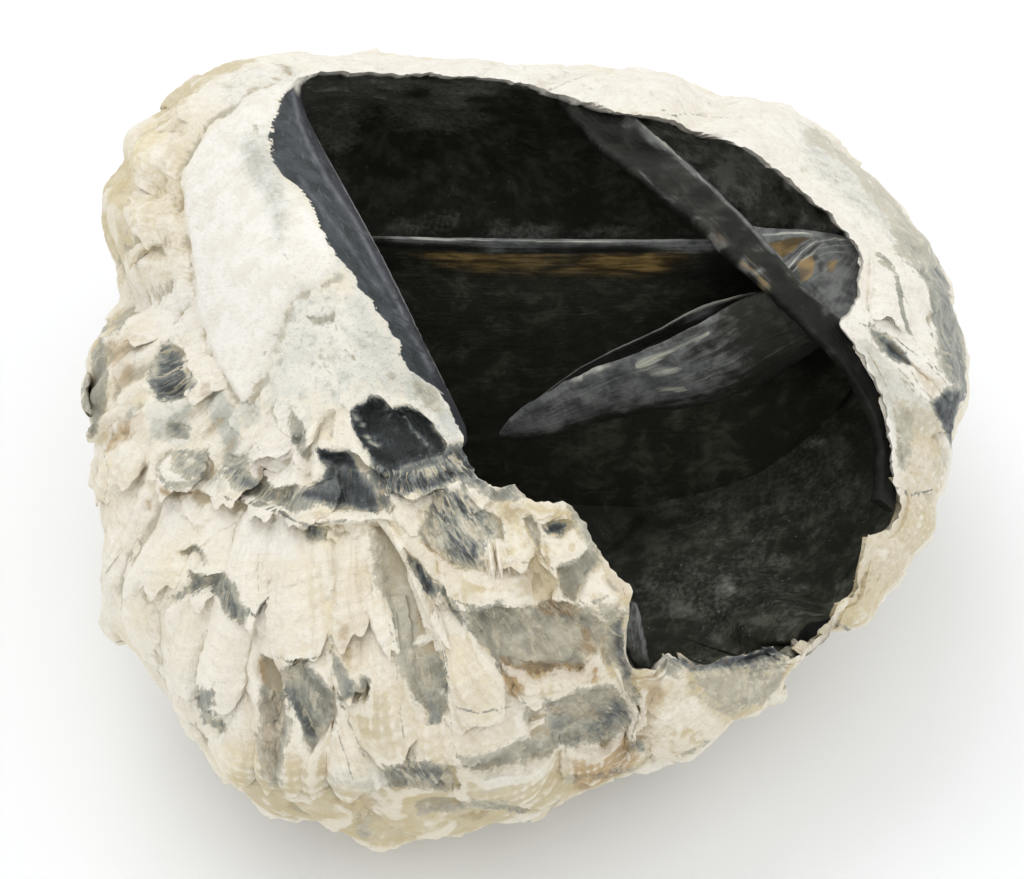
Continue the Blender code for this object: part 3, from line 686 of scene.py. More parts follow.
def make_wall(material):
    axes, turn, away, even, inner_away, lip, thick = rim_places()
    # The rows crowd where the outer face is open to view.
    rings_d = []
    t = np.arange(OUTER_ROWS) / OUTER_ROWS
    open_share = np.clip((1.95 - away * 0.2 - away) / (math.pi - away), 0.30, 0.75)
    open_share = blurred(open_share, max(2, COLUMNS // 60))
    for row in t:
        knee = 0.78
        s = np.where(row < knee, open_share * (row / knee) ** 1.05, open_share + (1 - open_share) * ((row - knee) / (1 - knee)))
        blend = np.minimum(1.0, 1.6 * s)
        tt = turn * (1 - blend) + even * blend
        rings_d.append(direction(tt, away * (1 - s) + math.pi * s, axes))
    rings_d = np.array(rings_d)
    flat = rings_d.reshape(-1, 3)
    info = outer_detail(flat)
    rim_fade = np.repeat(np.clip(np.arange(OUTER_ROWS) / (OUTER_ROWS * 0.05), 0, 1), COLUMNS)
    h = info["h"] * (0.25 + 0.75 * rim_fade)
    outer = (flat * body_radius(flat, h)[:, None]).reshape(OUTER_ROWS, COLUMNS, 3)
    rim_radius = np.linalg.norm(outer[0], axis=1)
    cell = COLUMNS / 1180.0
    # Crevices and ridges of the relief, kept to paint shade into the crevices and a highlight onto the ridges.
    crevice_shades = crevice(h.reshape(OUTER_ROWS, COLUMNS), max(1, round(3 * cell)), max(2, round(8 * cell)))

    strip = []
    for k in range(1, LIP_ROWS + 1):
        s = 0.03 + 0.97 * (k - 1) / (LIP_ROWS - 1)
        a = away * (1 - s) + inner_away * s
        d = direction(turn, a, axes)
        deep = 4.6 * lip + thick * (1 - lip)
        radius = rim_radius * (1 - s) + (body_radius(d) - deep) * s
        sag = 0.5 * np.sin(math.pi * s) * lip + 0.10 * noise(d * radius[:, None], 1.0, 95) * (1 - lip)
        strip.append(d * (radius - sag)[:, None])
    strip = np.array(strip)
    inner_d = []
    for k in range(1, INNER_ROWS):
        s = (k / INNER_ROWS) ** 1.25
        blend = np.minimum(1.0, 1.6 * s)
        tt = turn * (1 - blend) + even * blend
        inner_d.append(direction(tt, inner_away * (1 - s) + math.pi * s, axes))
    inner_d = np.array(inner_d).reshape(-1, 3)
    depth = wall(inner_d)
    near = np.repeat(smooth(np.arange(1, INNER_ROWS) / (INNER_ROWS * 0.34), 0, 1), COLUMNS)
    lip_all, thick_all = np.tile(lip, INNER_ROWS - 1), np.tile(thick, INNER_ROWS - 1)
    depth = depth * near + (1 - near) * (4.6 * lip_all + thick_all * (1 - lip_all))
    base = inner_d * (body_radius(inner_d) - depth)[:, None]
    rough = (0.28 * layered(base, 4.0, 3, 97) + 0.10 * noise(base, 0.8, 99)) * near
    inner = (inner_d * (body_radius(inner_d) - depth + rough)[:, None]).reshape(INNER_ROWS - 1, COLUMNS, 3)

    rings = np.concatenate([outer[::-1], strip, inner])
    far = -axes[0]
    poles = np.array([far * body_radius(far[None])[0], far * (body_radius(far[None])[0] - wall(far[None])[0])])
    verts = np.concatenate([rings.reshape(-1, 3), poles])
    rows = len(rings)
    faces = grid_faces(rows, COLUMNS).tolist()
    last = len(verts) - 1
    base_i = (rows - 1) * COLUMNS
    for j in range(COLUMNS):
        k = (j + 1) % COLUMNS
        faces.append([last - 1, j, k])
        faces.append([base_i + j, last, base_i + k])
    obj = mesh_object("shell_wall", verts, faces, material)
    which = np.concatenate([np.zeros(OUTER_ROWS * COLUMNS), np.repeat((np.arange(LIP_ROWS) + 1) / (LIP_ROWS + 1), COLUMNS),
                            np.ones((INNER_ROWS - 1) * COLUMNS), [0.0, 1.0]])
    lipness = np.concatenate([np.zeros(OUTER_ROWS * COLUMNS), np.tile(lip, LIP_ROWS), np.zeros((INNER_ROWS - 1) * COLUMNS), [0, 0]])
    run = np.concatenate([[0], np.cumsum(np.linalg.norm(np.diff(outer[0], axis=0), axis=1))])
    along = np.concatenate([np.zeros(OUTER_ROWS * COLUMNS), np.tile(run, LIP_ROWS), np.zeros((INNER_ROWS - 1) * COLUMNS), [0, 0]])
    paint(obj, "where", np.stack([which, lipness, along]))
    crevice_shade = np.concatenate([crevice_shades[::-1].ravel(), np.full((LIP_ROWS + INNER_ROWS - 1) * COLUMNS, 0.5), [0.5, 0.5]])
    paint(obj, "crevice_shade", np.stack([crevice_shade, crevice_shade, crevice_shade]))
    view = open_to_view(obj)
    keep = np.where(which == 0, 0.9 * view, np.where(which < 1, np.where(lipness > 0.3, 1.0, 0.5), 0.75 * (1 - view)))
    thin_out(obj, WALL_FACES, keep)
    paint_wall(obj)
    return obj


def rosette(x, y, across, down, thick):
    """Corners of a ring of silica, nearly closed."""
    turns = np.radians(np.arange(10, 351, 17))
    outer = [(x + across * math.cos(a), y + down * math.sin(a)) for a in turns]
    return outer + [(x + (across - thick) * math.cos(a), y + (down - thick) * math.sin(a)) for a in turns[::-1]]


GREYS = [   # corners, strength, feather: glassy grey silica laid bare
    (rosette(180, 469, 25, 20, 5), 0.62, 2), (rosette(184, 467, 13, 11, 4), 0.45, 2),
    ([(315, 449), (331, 453), (343, 448), (354, 454), (359, 470), (371, 484), (378, 498), (380, 517), (371, 514), (354, 508),
      (326, 507), (308, 503), (296, 496), (301, 487), (319, 480), (326, 470), (320, 462)], 0.98, 3),
    ([(224, 466), (240, 460), (252, 468), (262, 482), (278, 494), (284, 502), (262, 498), (244, 488), (230, 480)], 0.92, 3),
    ([(380, 800), (440, 790), (520, 786), (600, 772), (600, 782), (540, 800), (470, 812), (400, 822), (370, 830), (362, 812)],
     0.44, 8),
    ([(356, 540), (378, 538), (386, 572), (364, 574)], 0.35, 6),
    (HOLLOWS[0][0], 0.85, 3),
    ([(157, 350), (160, 342), (168, 339), (172, 346), (180, 350), (187, 362), (184, 368), (192, 378), (195, 388), (188, 394), (184, 402),
      (174, 400), (168, 405), (156, 399), (153, 388), (146, 380), (149, 364)], 1.05, 4.5),
    ([(164, 424), (176, 421), (191, 428), (190, 440), (176, 437), (165, 432)], 0.72, 3),
    ([(170, 454), (186, 450), (198, 458), (200, 474), (188, 480), (172, 474)], 0.42, 4),
    ([(196, 452), (206, 450), (211, 466), (205, 480), (196, 478)], 0.80, 3),
    ([(272, 486), (292, 484), (306, 494), (318, 508), (298, 512), (276, 502)], 0.70, 4),
    ([(436, 448), (462, 440), (474, 462), (486, 486), (470, 490), (452, 478), (436, 470)], 1.05, 3),
    ([(366, 448), (384, 456), (402, 460), (438, 453), (454, 440), (472, 474), (440, 492), (400, 496), (372, 490)], 1.05, 4),
    ([(258, 690), (272, 684), (288, 706), (290, 740), (280, 790), (262, 780), (256, 740)], 0.48, 5),
    ([(190, 452), (204, 448), (211, 466), (206, 480), (194, 476)], 0.75, 5),
    ([(289, 404), (299, 418), (308, 455), (302, 462), (293, 442)], 0.70, 4),
    ([(310, 315), (332, 311), (330, 321), (313, 324)], 0.80, 3),
    ([(384, 372), (398, 374), (397, 384), (386, 383)], 0.45, 4),
    ([(312, 342), (320, 352), (331, 368), (333, 386), (328, 388), (324, 368), (314, 354)], 0.42, 3),
    ([(219, 471), (235, 462), (255, 471), (273, 484), (291, 498), (288, 507), (264, 501), (242, 492), (226, 487)], 0.55, 5),
    ([(220, 452), (246, 450), (258, 466), (240, 474), (224, 468)], 0.55, 4),
    ([(530, 638), (562, 642), (586, 648), (584, 668), (540, 672)], 0.72, 5),
    ([(412, 376), (428, 382), (440, 396), (448, 414), (430, 410), (416, 398)], 0.50, 4),
    ([(926, 276), (958, 290), (968, 330), (946, 332), (932, 306)], 0.62, 6),
    ([(350, 800), (430, 796), (500, 808), (490, 826), (400, 832), (350, 822)], 0.42, 9),
    ([(292, 490), (320, 481), (326, 468), (358, 472), (372, 480), (380, 494), (379, 520), (370, 515), (353, 511), (330, 506),
      (305, 502)], 0.84, 4),
    ([(376, 498), (391, 495), (396, 507), (389, 514), (379, 508)], 0.90, 3),
    ([(302, 526), (312, 522), (324, 528), (326, 540), (312, 542), (304, 536)], 0.55, 4),
    ([(182, 552), (195, 543), (202, 551), (207, 561), (203, 566), (197, 556), (188, 552), (186, 560)], 0.75, 3),
    ([(187, 571), (208, 575), (210, 585), (197, 593), (184, 596), (175, 605), (166, 614), (172, 596), (190, 583)], 0.82, 3),
    ([(210, 578), (224, 573), (236, 587), (241, 601), (249, 612), (242, 626), (227, 615), (218, 597), (209, 585)], 0.78, 3),
    ([(195, 692), (213, 689), (215, 703), (208, 715), (224, 723), (218, 733), (203, 726), (195, 706)], 0.75, 4),
    ([(285, 667), (300, 664), (318, 676), (330, 687), (337, 701), (330, 721), (322, 738), (314, 753), (304, 738),
      (295, 713), (284, 692)], 0.60, 4),
    ([(332, 642), (340, 662), (352, 678), (363, 694), (360, 700), (344, 702), (337, 690), (333, 670)], 0.78, 3),
    ([(364, 674), (374, 681), (368, 700), (360, 694)], 0.7, 3),
    ([(362, 520), (376, 536), (389, 556), (402, 578), (414, 605), (420, 630), (423, 652), (441, 650), (443, 674), (450, 703),
      (442, 716), (429, 726), (418, 706), (409, 694), (404, 677), (397, 663), (393, 630), (384, 605), (371, 572), (371, 556),
      (364, 534)], 0.38, 4),
    ([(424, 656), (442, 652), (446, 690), (430, 684)], 0.72, 4),
    ([(422, 700), (436, 697), (449, 703), (442, 722), (428, 726)], 0.85, 3),
    ([(406, 546), (421, 564), (430, 578), (445, 583), (450, 597), (459, 610), (466, 626), (451, 615), (437, 591), (432, 608),
      (418, 584), (409, 568)], 0.90, 2.5),
    ([(430, 494), (461, 487), (478, 508), (498, 522), (501, 541), (485, 537), (484, 558), (487, 572), (465, 571), (444, 558),
      (424, 541), (422, 524)], 0.72, 5),
    ([(478, 486), (496, 488), (512, 484), (522, 494), (508, 500), (486, 496)], 0.6, 4),
    ([(523, 518), (533, 515), (539, 534), (537, 551), (531, 538)], 0.72, 3),
    ([(540, 524), (555, 521), (573, 518), (573, 528), (560, 537), (545, 533)], 1.0, 2.5),
    ([(566, 500), (582, 510), (592, 530), (606, 558), (597, 558), (580, 538), (572, 528)], 0.55, 5),
    ([(557, 566), (581, 557), (593, 549), (606, 566), (594, 572), (583, 588), (573, 601), (561, 594)], 0.70, 4),
    ([(470, 607), (498, 604), (520, 612), (540, 606), (556, 602), (578, 608), (598, 614), (606, 630), (600, 648), (584, 660), (560, 664),
      (540, 668), (520, 669), (505, 665), (492, 655), (480, 640), (472, 624)], 0.66, 5),
    ([(470, 607), (500, 605), (524, 616), (530, 636), (506, 640), (482, 632)], 0.90, 5),
    ([(534, 606), (560, 600), (584, 610), (580, 622), (552, 626), (538, 620)], 0.85, 4),
    ([(466, 462), (480, 476), (492, 488), (512, 484), (526, 496), (514, 503), (490, 501), (472, 488)], 0.85, 4),
    ([(536, 610), (558, 606), (570, 620), (548, 630)], 0.70, 6),
    ([(524, 668), (540, 668), (538, 676), (526, 676)], 0.8, 3),
    ([(596, 604), (632, 606), (634, 622), (604, 626)], 0.30, 5),
    ([(608, 622), (622, 616), (628, 640), (618, 662), (606, 668), (600, 650)], 0.75, 4),
    ([(612, 622), (624, 618), (624, 640), (626, 658), (634, 676), (644, 700), (636, 704), (624, 684), (612, 660), (607, 640)], 0.85, 4),
    ([(543, 699), (572, 689), (600, 684), (624, 694), (632, 712), (626, 731), (609, 741), (576, 748), (552, 741), (542, 721)], 0.62, 5),
    ([(606, 693), (624, 696), (630, 713), (619, 731), (596, 736), (576, 743), (564, 738), (580, 722), (600, 718), (608, 706)], 0.90, 4),
    ([(457, 756), (489, 753), (524, 738), (544, 732), (560, 740), (549, 753), (524, 763), (489, 770), (462, 766)], 0.55, 4),
    ([(523, 710), (531, 712), (530, 727), (522, 722)], 0.6, 3),
    ([(384, 764), (430, 760), (454, 766), (462, 784), (444, 791), (420, 792), (388, 790)], 0.80, 5),
    ([(416, 806), (466, 800), (502, 799), (536, 814), (530, 820), (500, 808), (464, 809), (418, 813)], 0.70, 3),
    ([(349, 792), (380, 788), (414, 796), (412, 818), (372, 822), (350, 812)], 0.40, 7),
    ([(356, 826), (372, 818), (376, 838), (362, 842)], 0.5, 4),
    ([(243, 768), (272, 776), (300, 792), (326, 810), (320, 822), (284, 816), (250, 800)], 0.75, 8),
    ([(560, 776), (600, 770), (640, 762), (650, 768), (610, 778), (566, 786)], 0.30, 4),
    ([(628, 736), (644, 742), (638, 755), (628, 748)], 0.85, 3),
    ([(656, 648), (682, 656), (681, 684), (668, 672), (660, 664)], 0.50, 4),
    ([(680, 661), (737, 654), (780, 640), (788, 660), (786, 688), (765, 707), (734, 721), (706, 700), (690, 680)], 0.40, 5),
    ([(736, 655), (780, 641), (789, 661), (762, 678), (742, 672)], 0.90, 4),
    ([(668, 764), (680, 753), (714, 739), (709, 750), (685, 764)], 0.75, 3),
    ([(928, 403), (950, 385), (966, 390), (970, 417), (965, 442), (956, 458), (949, 442), (940, 423)], 0.95, 2),
    ([(915, 273), (927, 283), (931, 306), (936, 338), (939, 369), (950, 384), (966, 392), (986, 385), (982, 330), (970, 290), (950, 258)],
     0.80, 3),
    ([(868, 325), (880, 328), (892, 338), (905, 352), (912, 366), (905, 367), (894, 362), (882, 350), (873, 338)], 1.0, 3),
    ([(896, 404), (912, 405), (914, 440), (910, 470), (898, 474), (893, 440)], 0.40, 5),
    ([(877, 256), (893, 262), (896, 272), (888, 270), (878, 264)], 0.45, 3),
    ([(797, 124), (810, 146), (834, 160), (850, 176), (868, 204), (888, 222), (908, 246), (922, 272), (932, 310), (938, 345),
      (942, 376), (964, 393), (984, 385), (978, 330), (964, 285), (934, 236), (892, 186), (850, 148), (820, 122)], 0.22, 5.5),
    ([(889, 231), (896, 250), (915, 273), (927, 283), (931, 306), (936, 338), (939, 369), (950, 384), (966, 392), (986, 385), (982, 330),
      (966, 282), (932, 236), (900, 206)], 0.36, 3.5),
    ([(930, 284), (938, 290), (944, 310), (942, 326), (934, 312)], 0.78, 4),
    ([(936, 318), (950, 322), (960, 332), (948, 336), (938, 330)], 0.66, 4),
    ([(84, 377), (92, 349), (105, 337), (108, 360), (106, 405), (98, 433), (88, 439)], 0.85, 3),
    ([(114, 310), (131, 308), (126, 326), (110, 336)], 0.55, 3),
    ([(248, 126), (256, 126), (256, 134), (249, 134)], 0.5, 3),
]
DARKS = [
    ([(317, 451), (331, 455), (343, 450), (353, 456), (358, 470), (370, 485), (376, 500), (376, 512), (354, 506), (326, 504),
      (306, 500), (302, 490), (320, 482), (328, 470)], 0.44, 4),
    (HOLLOWS[0][0], 1.0, 2.5),
    ([(316, 453), (324, 448), (342, 452), (352, 455), (359, 470), (344, 468), (331, 463), (320, 460)], 0.90, 2.5),
    ([(298, 494), (322, 486), (334, 474), (356, 476), (372, 484), (378, 500), (377, 518), (352, 508), (330, 502), (308, 500)], 0.50, 3),
    ([(226, 474), (240, 466), (256, 474), (272, 486), (286, 500), (262, 494), (240, 484)], 0.15, 4),
    ([(156, 384), (170, 380), (186, 384), (186, 400), (168, 402), (156, 394)], 0.40, 5),
    ([(158, 350), (172, 350), (184, 362), (184, 374), (160, 370)], 0.18, 5),
    ([(440, 452), (460, 446), (470, 464), (476, 480), (458, 474)], 0.25, 4),
    ([(374, 466), (400, 474), (430, 474), (456, 464), (458, 480), (420, 492), (388, 490)], 0.45, 6),
    ([(664, 652), (682, 658), (722, 656), (754, 648), (774, 642), (778, 652), (732, 668), (690, 672)], 0.80, 3),
    ([(612, 622), (624, 618), (624, 640), (626, 658), (634, 678), (624, 680), (614, 660)], 0.35, 3),
    ([(194, 574), (208, 577), (206, 586), (192, 590)], 0.25, 3),
    ([(228, 598), (240, 604), (246, 614), (240, 623), (230, 612)], 0.35, 3),
    ([(544, 527), (556, 523), (571, 521), (560, 534), (548, 532)], 0.60, 2),
    ([(310, 526), (317, 524), (318, 533), (312, 536)], 0.75, 2),
    ([(350, 573), (356, 573), (356, 579), (350, 579)], 0.6, 2),
    ([(286, 684), (300, 703), (309, 720), (316, 739), (308, 738), (294, 714), (284, 694)], 0.42, 3),
    ([(342, 676), (356, 690), (358, 698), (346, 698)], 0.25, 3),
    ([(438, 654), (444, 654), (448, 690), (442, 690)], 0.30, 2),
    ([(410, 550), (421, 566), (430, 582), (432, 600), (418, 580)], 0.60, 2.5),
    ([(440, 518), (456, 530), (476, 556), (466, 566), (448, 552)], 0.35, 5),
    ([(612, 696), (626, 700), (628, 716), (618, 726), (612, 712)], 0.25, 4),
    ([(392, 768), (450, 768), (452, 784), (398, 786)], 0.22, 4),
    ([(742, 655), (780, 643), (784, 656), (756, 668)], 0.35, 4),
    ([(632, 738), (642, 742), (638, 752), (630, 748)], 0.3, 3),
    ([(931, 404), (946, 392), (962, 394), (964, 420), (958, 446), (952, 450), (942, 428)], 0.50, 3),
    ([(884, 338), (898, 346), (912, 366), (904, 365), (890, 354)], 0.55, 3),
    ([(245, 400), (254, 394), (256, 404), (248, 408)], 0.3, 2),
]
CURLED = [   # where the bared silica is curled and streaked with cream
    ([(428, 500), (455, 490), (480, 500), (503, 520), (506, 545), (490, 574), (464, 574), (440, 560), (422, 540)], 1.0, 6),
    ([(380, 456), (410, 470), (440, 466), (458, 450), (474, 462), (484, 488), (462, 492), (430, 500), (396, 500), (378, 486)], 0.95, 5),
    ([(222, 470), (250, 462), (280, 476), (300, 492), (296, 510), (262, 504), (232, 492)], 0.6, 5),
    ([(168, 452), (198, 452), (206, 476), (190, 484), (170, 478)], 0.6, 4),
    ([(180, 548), (206, 548), (212, 576), (244, 596), (250, 624), (224, 618), (196, 600), (168, 612)], 0.4, 4),
    ([(404, 546), (430, 560), (462, 606), (456, 624), (430, 610), (408, 570)], 0.7, 5),
    ([(600, 640), (624, 640), (630, 668), (606, 690), (598, 664)], 0.5, 5),
    ([(384, 762), (460, 760), (460, 792), (388, 792)], 0.6, 5),
    ([(470, 604), (600, 604), (606, 650), (560, 666), (500, 666), (478, 640)], 0.40, 6),
    ([(684, 658), (784, 640), (790, 668), (740, 714), (700, 698)], 0.75, 5),
    ([(150, 345), (190, 345), (196, 400), (152, 400)], 0.50, 4),
    ([(540, 696), (630, 690), (632, 730), (560, 748)], 0.30, 6),
    ([(284, 664), (338, 690), (326, 740), (296, 716)], 0.30, 5),
]
BROWNS = [   # brown stain, and painted brown shadow under the pale splinter, the disc and along a crack
    # painted shadow under the pale splinter
    ([(102, 448), (142, 415), (145, 421), (106, 454)], 0.75, 2),
    ([(500, 657), (508, 658), (524, 676), (520, 698), (508, 690)], 1.0, 4),
    ([(536, 606), (556, 600), (580, 608), (572, 618), (548, 620), (536, 618)], 0.75, 5),
    ([(578, 622), (592, 626), (600, 650), (588, 656), (578, 644)], 0.70, 6),
    ([(516, 664), (548, 664), (580, 660), (604, 664), (600, 678), (556, 680), (522, 684)], 0.90, 5),
    ([(544, 702), (560, 700), (600, 706), (602, 718), (572, 724), (550, 722)], 0.45, 7),
    ([(572, 760), (600, 752), (634, 760), (628, 776), (600, 788), (574, 790)], 0.80, 6),
    ([(600, 742), (630, 740), (640, 764), (604, 768)], 0.90, 6),
    ([(636, 676), (664, 672), (668, 700), (650, 712), (638, 704)], 0.55, 7),
    ([(632, 712), (650, 712), (648, 750), (632, 748)], 0.45, 6),
    ([(420, 542), (436, 548), (464, 572), (454, 582), (428, 566)], 0.80, 5),
    ([(534, 536), (546, 536), (556, 566), (552, 600), (536, 566)], 0.45, 6),
    ([(256, 658), (284, 656), (286, 680), (270, 690), (258, 676)], 0.55, 5),
    ([(258, 690), (280, 690), (286, 740), (276, 786), (262, 770)], 0.50, 8),
    ([(334, 624), (352, 622), (352, 668), (342, 660)], 0.45, 5),
    ([(372, 500), (420, 500), (428, 530), (404, 540), (378, 524)], 0.32, 8),
    ([(412, 690), (428, 694), (430, 726), (416, 728)], 0.40, 5),
    # painted shadow under the disc
    ([(162, 484), (184, 492), (208, 484), (206, 494), (184, 500), (164, 494)], 0.80, 4),
    ([(142, 500), (150, 502), (148, 516), (140, 512)], 0.6, 4),
    # painted shadow along a crack
    ([(246, 402), (256, 386), (264, 372), (266, 380), (256, 398)], 0.75, 3),
    ([(106, 342), (136, 338), (138, 380), (122, 396), (108, 392)], 0.50, 8),
    ([(112, 424), (140, 414), (146, 430), (120, 446)], 0.65, 5),
    ([(196, 378), (212, 376), (210, 396), (198, 398)], 0.45, 4),
    ([(310, 504), (340, 520), (330, 528), (304, 518)], 0.5, 5),
    ([(884, 336), (900, 348), (912, 366), (902, 366), (888, 350)], 0.45, 4),
    ([(680, 656), (730, 654), (728, 668), (690, 670)], 0.45, 6),
    ([(500, 498), (524, 500), (530, 514), (508, 520)], 0.45, 6),
    ([(560, 640), (580, 640), (584, 652), (562, 652)], 0.45, 5),
    ([(350, 796), (400, 796), (410, 816), (360, 816)], 0.40, 8),
]
LIGHTS = [   # paler parts of the bared silica
    ([(500, 644), (530, 640), (556, 648), (566, 662), (530, 668), (504, 662)], 0.30, 8),
    ([(540, 624), (580, 626), (584, 650), (556, 650)], 0.45, 8),
    ([(560, 700), (600, 704), (596, 722), (566, 726)], 0.35, 7),
    ([(150, 362), (156, 362), (156, 376), (150, 376)], 0.7, 3),
    ([(372, 540), (392, 560), (408, 620), (404, 650), (386, 610)], 0.30, 8),
    ([(298, 490), (330, 480), (340, 492), (310, 500)], 0.25, 6),
    ([(700, 664), (760, 660), (768, 690), (720, 706)], 0.25, 10),
]
YELLOWS = [
    ([(86, 300), (116, 170), (150, 120), (200, 64), (300, 46), (300, 58), (212, 84), (160, 130), (130, 180), (116, 250),
      (128, 300)], 0.85, 10),
    ([(206, 258), (218, 262), (222, 312), (211, 312)], 0.55, 6),
    ([(542, 507), (562, 505), (570, 517), (550, 523)], 0.95, 4),
    ([(840, 490), (940, 490), (932, 560), (880, 634), (838, 632)], 0.50, 12),
    ([(160, 480), (220, 500), (240, 620), (200, 700), (120, 620), (110, 540)], 0.20, 20),
    ([(323, 600), (332, 596), (334, 652), (326, 654)], 0.60, 5),
    ([(464, 812), (496, 811), (496, 829), (466, 832)], 0.7, 5),
    ([(368, 816), (440, 816), (440, 852), (372, 856)], 0.5, 8),
    ([(104, 396), (146, 396), (146, 440), (100, 444)], 0.45, 8),
    ([(216, 740), (250, 744), (290, 806), (272, 822), (222, 780)], 0.55, 10),
    ([(316, 428), (336, 430), (338, 450), (322, 452)], 0.45, 8),
    ([(712, 700), (790, 676), (792, 706), (736, 726)], 0.6, 8),
    ([(404, 690), (412, 690), (424, 744), (412, 740)], 0.4, 4),
]
PINKS = [   # pinkish and brownish beige
    ([(440, 570), (640, 560), (650, 700), (700, 760), (560, 800), (430, 800), (420, 690)], 0.34, 26),
    ([(250, 770), (340, 790), (560, 770), (560, 830), (380, 870), (240, 830)], 0.52, 24),
    ([(846, 480), (940, 480), (930, 570), (870, 640), (826, 640)], 0.40, 18),
    ([(849, 336), (868, 335), (900, 371), (929, 403), (942, 423), (952, 449), (934, 488), (912, 493), (895, 482), (893, 440), (883, 403),
      (871, 377), (858, 352)], 0.42, 5),
    ([(912, 368), (946, 386), (930, 402)], 0.55, 5),
    ([(330, 540), (430, 560), (440, 790), (340, 790), (330, 640)], 0.20, 24),
    ([(254, 664), (284, 655), (288, 674), (288, 700), (286, 740), (278, 788), (258, 780), (258, 720), (262, 690), (256, 680)], 0.95, 6),
    ([(444, 579), (501, 570), (534, 566), (558, 570), (562, 598), (531, 612), (501, 605), (470, 606), (449, 596)], 0.42, 6),
    ([(428, 548), (444, 560), (466, 574), (484, 576), (480, 584), (446, 578), (430, 562)], 0.55, 6),
    ([(533, 604), (562, 601), (583, 611), (572, 620), (548, 621)], 0.75, 5),
    ([(588, 632), (604, 630), (602, 654), (584, 652)], 0.7, 6),
    ([(488, 660), (508, 660), (526, 674), (521, 698), (506, 688)], 1.0, 4),
    ([(524, 657), (602, 662), (606, 682), (576, 690), (548, 698), (522, 692)], 0.45, 6),
    ([(564, 749), (606, 741), (632, 752), (598, 764), (576, 769)], 0.40, 6),
    ([(578, 766), (650, 762), (620, 786), (584, 790)], 0.80, 6),
    ([(626, 676), (666, 672), (668, 700), (650, 734), (630, 730)], 0.62, 9),
    ([(680, 661), (730, 658), (730, 686), (700, 696)], 0.70, 8),
    ([(330, 560), (372, 560), (384, 640), (350, 650), (330, 620)], 0.40, 16),
    ([(332, 620), (356, 622), (352, 672), (340, 660)], 0.60, 6),
    ([(846, 335), (903, 377), (931, 409), (952, 452), (930, 470), (900, 440), (880, 380)], 0.42, 10),
    ([(868, 536), (890, 540), (890, 576), (872, 570)], 0.50, 8),
    ([(106, 345), (136, 342), (136, 390), (112, 394)], 0.60, 7),
    ([(245, 768), (325, 790), (325, 822), (270, 820)], 0.55, 10),
    ([(300, 720), (330, 740), (330, 790), (296, 790)], 0.35, 8),
    ([(238, 690), (260, 690), (262, 770), (236, 770)], 0.40, 10),
    ([(196, 410), (240, 420), (262, 470), (220, 462)], 0.30, 10),
    ([(500, 496), (530, 500), (524, 520), (506, 516)], 0.45, 6),
    ([(470, 786), (560, 770), (570, 800), (480, 812)], 0.30, 8),
    ([(250, 396), (256, 390), (258, 400), (250, 406)], 0.8, 3),
]
TANS = [   # a tan cast; along the lower edge and in a few patches between plates it is also painted shade
    ([(896, 400), (945, 404), (950, 444), (908, 450)], 0.60, 8),
    # partly painted shade along the downward-facing lower edge
    ([(330, 796), (470, 796), (560, 768), (650, 760), (600, 800), (540, 830), (380, 870), (300, 830)], 0.95, 8),
    ([(236, 764), (300, 790), (350, 800), (350, 850), (270, 836), (214, 790)], 0.85, 8),
    ([(846, 500), (945, 485), (930, 560), (870, 650), (826, 650)], 0.48, 12),
    ([(470, 600), (640, 590), (650, 700), (560, 706), (480, 670)], 0.60, 8),
    ([(900, 440), (950, 430), (950, 520), (910, 560)], 0.45, 10),
    ([(684, 662), (796, 636), (800, 690), (740, 736), (690, 700)], 0.65, 8),
    ([(40, 150), (100, 110), (128, 130), (138, 200), (124, 330), (60, 350)], 0.62, 18),
    ([(150, 104), (200, 64), (252, 50), (256, 62), (208, 84), (160, 124)], 0.75, 6),
    # painted shade between plates, down to the patch at (672, 730)
    ([(350, 690), (392, 690), (398, 744), (362, 744)], 1.0, 7),
    ([(280, 758), (326, 760), (326, 806), (282, 806)], 1.0, 8),
    ([(436, 762), (486, 762), (486, 802), (440, 802)], 1.0, 8),
    ([(444, 570), (484, 576), (486, 610), (446, 604)], 1.0, 7),
    ([(410, 538), (450, 546), (452, 580), (412, 576)], 1.0, 7),
    ([(540, 638), (584, 638), (584, 672), (540, 672)], 1.0, 7),
    ([(672, 730), (708, 730), (700, 764), (672, 764)], 0.9, 7),
    ([(150, 160), (180, 130), (190, 170), (184, 260), (150, 290), (136, 230)], 0.40, 10),
    ([(84, 348), (106, 338), (108, 440), (84, 444)], 0.9, 5),
    ([(640, 676), (690, 690), (700, 740), (640, 760)], 0.35, 10),
    ([(430, 556), (560, 560), (604, 606), (450, 610)], 0.62, 7),
    ([(496, 500), (576, 506), (584, 560), (560, 572), (500, 560)], 0.72, 8),
    ([(400, 500), (432, 504), (440, 590), (408, 564)], 0.48, 8),
    # partly painted shade along the lower edge
    ([(270, 780), (480, 790), (560, 780), (540, 830), (380, 860), (290, 830)], 0.90, 12),
    ([(350, 528), (400, 528), (420, 600), (380, 600)], 0.40, 10),
    ([(250, 740), (330, 756), (334, 800), (262, 800)], 0.60, 8),
    ([(430, 756), (500, 760), (480, 800), (430, 796)], 0.60, 7),
    ([(330, 620), (380, 640), (440, 740), (440, 790), (340, 790)], 0.35, 12),
    ([(560, 556), (600, 548), (612, 576), (584, 600), (560, 596)], 0.45, 7),
    ([(430, 745), (640, 735), (640, 760), (430, 775)], 0.30, 8),
]
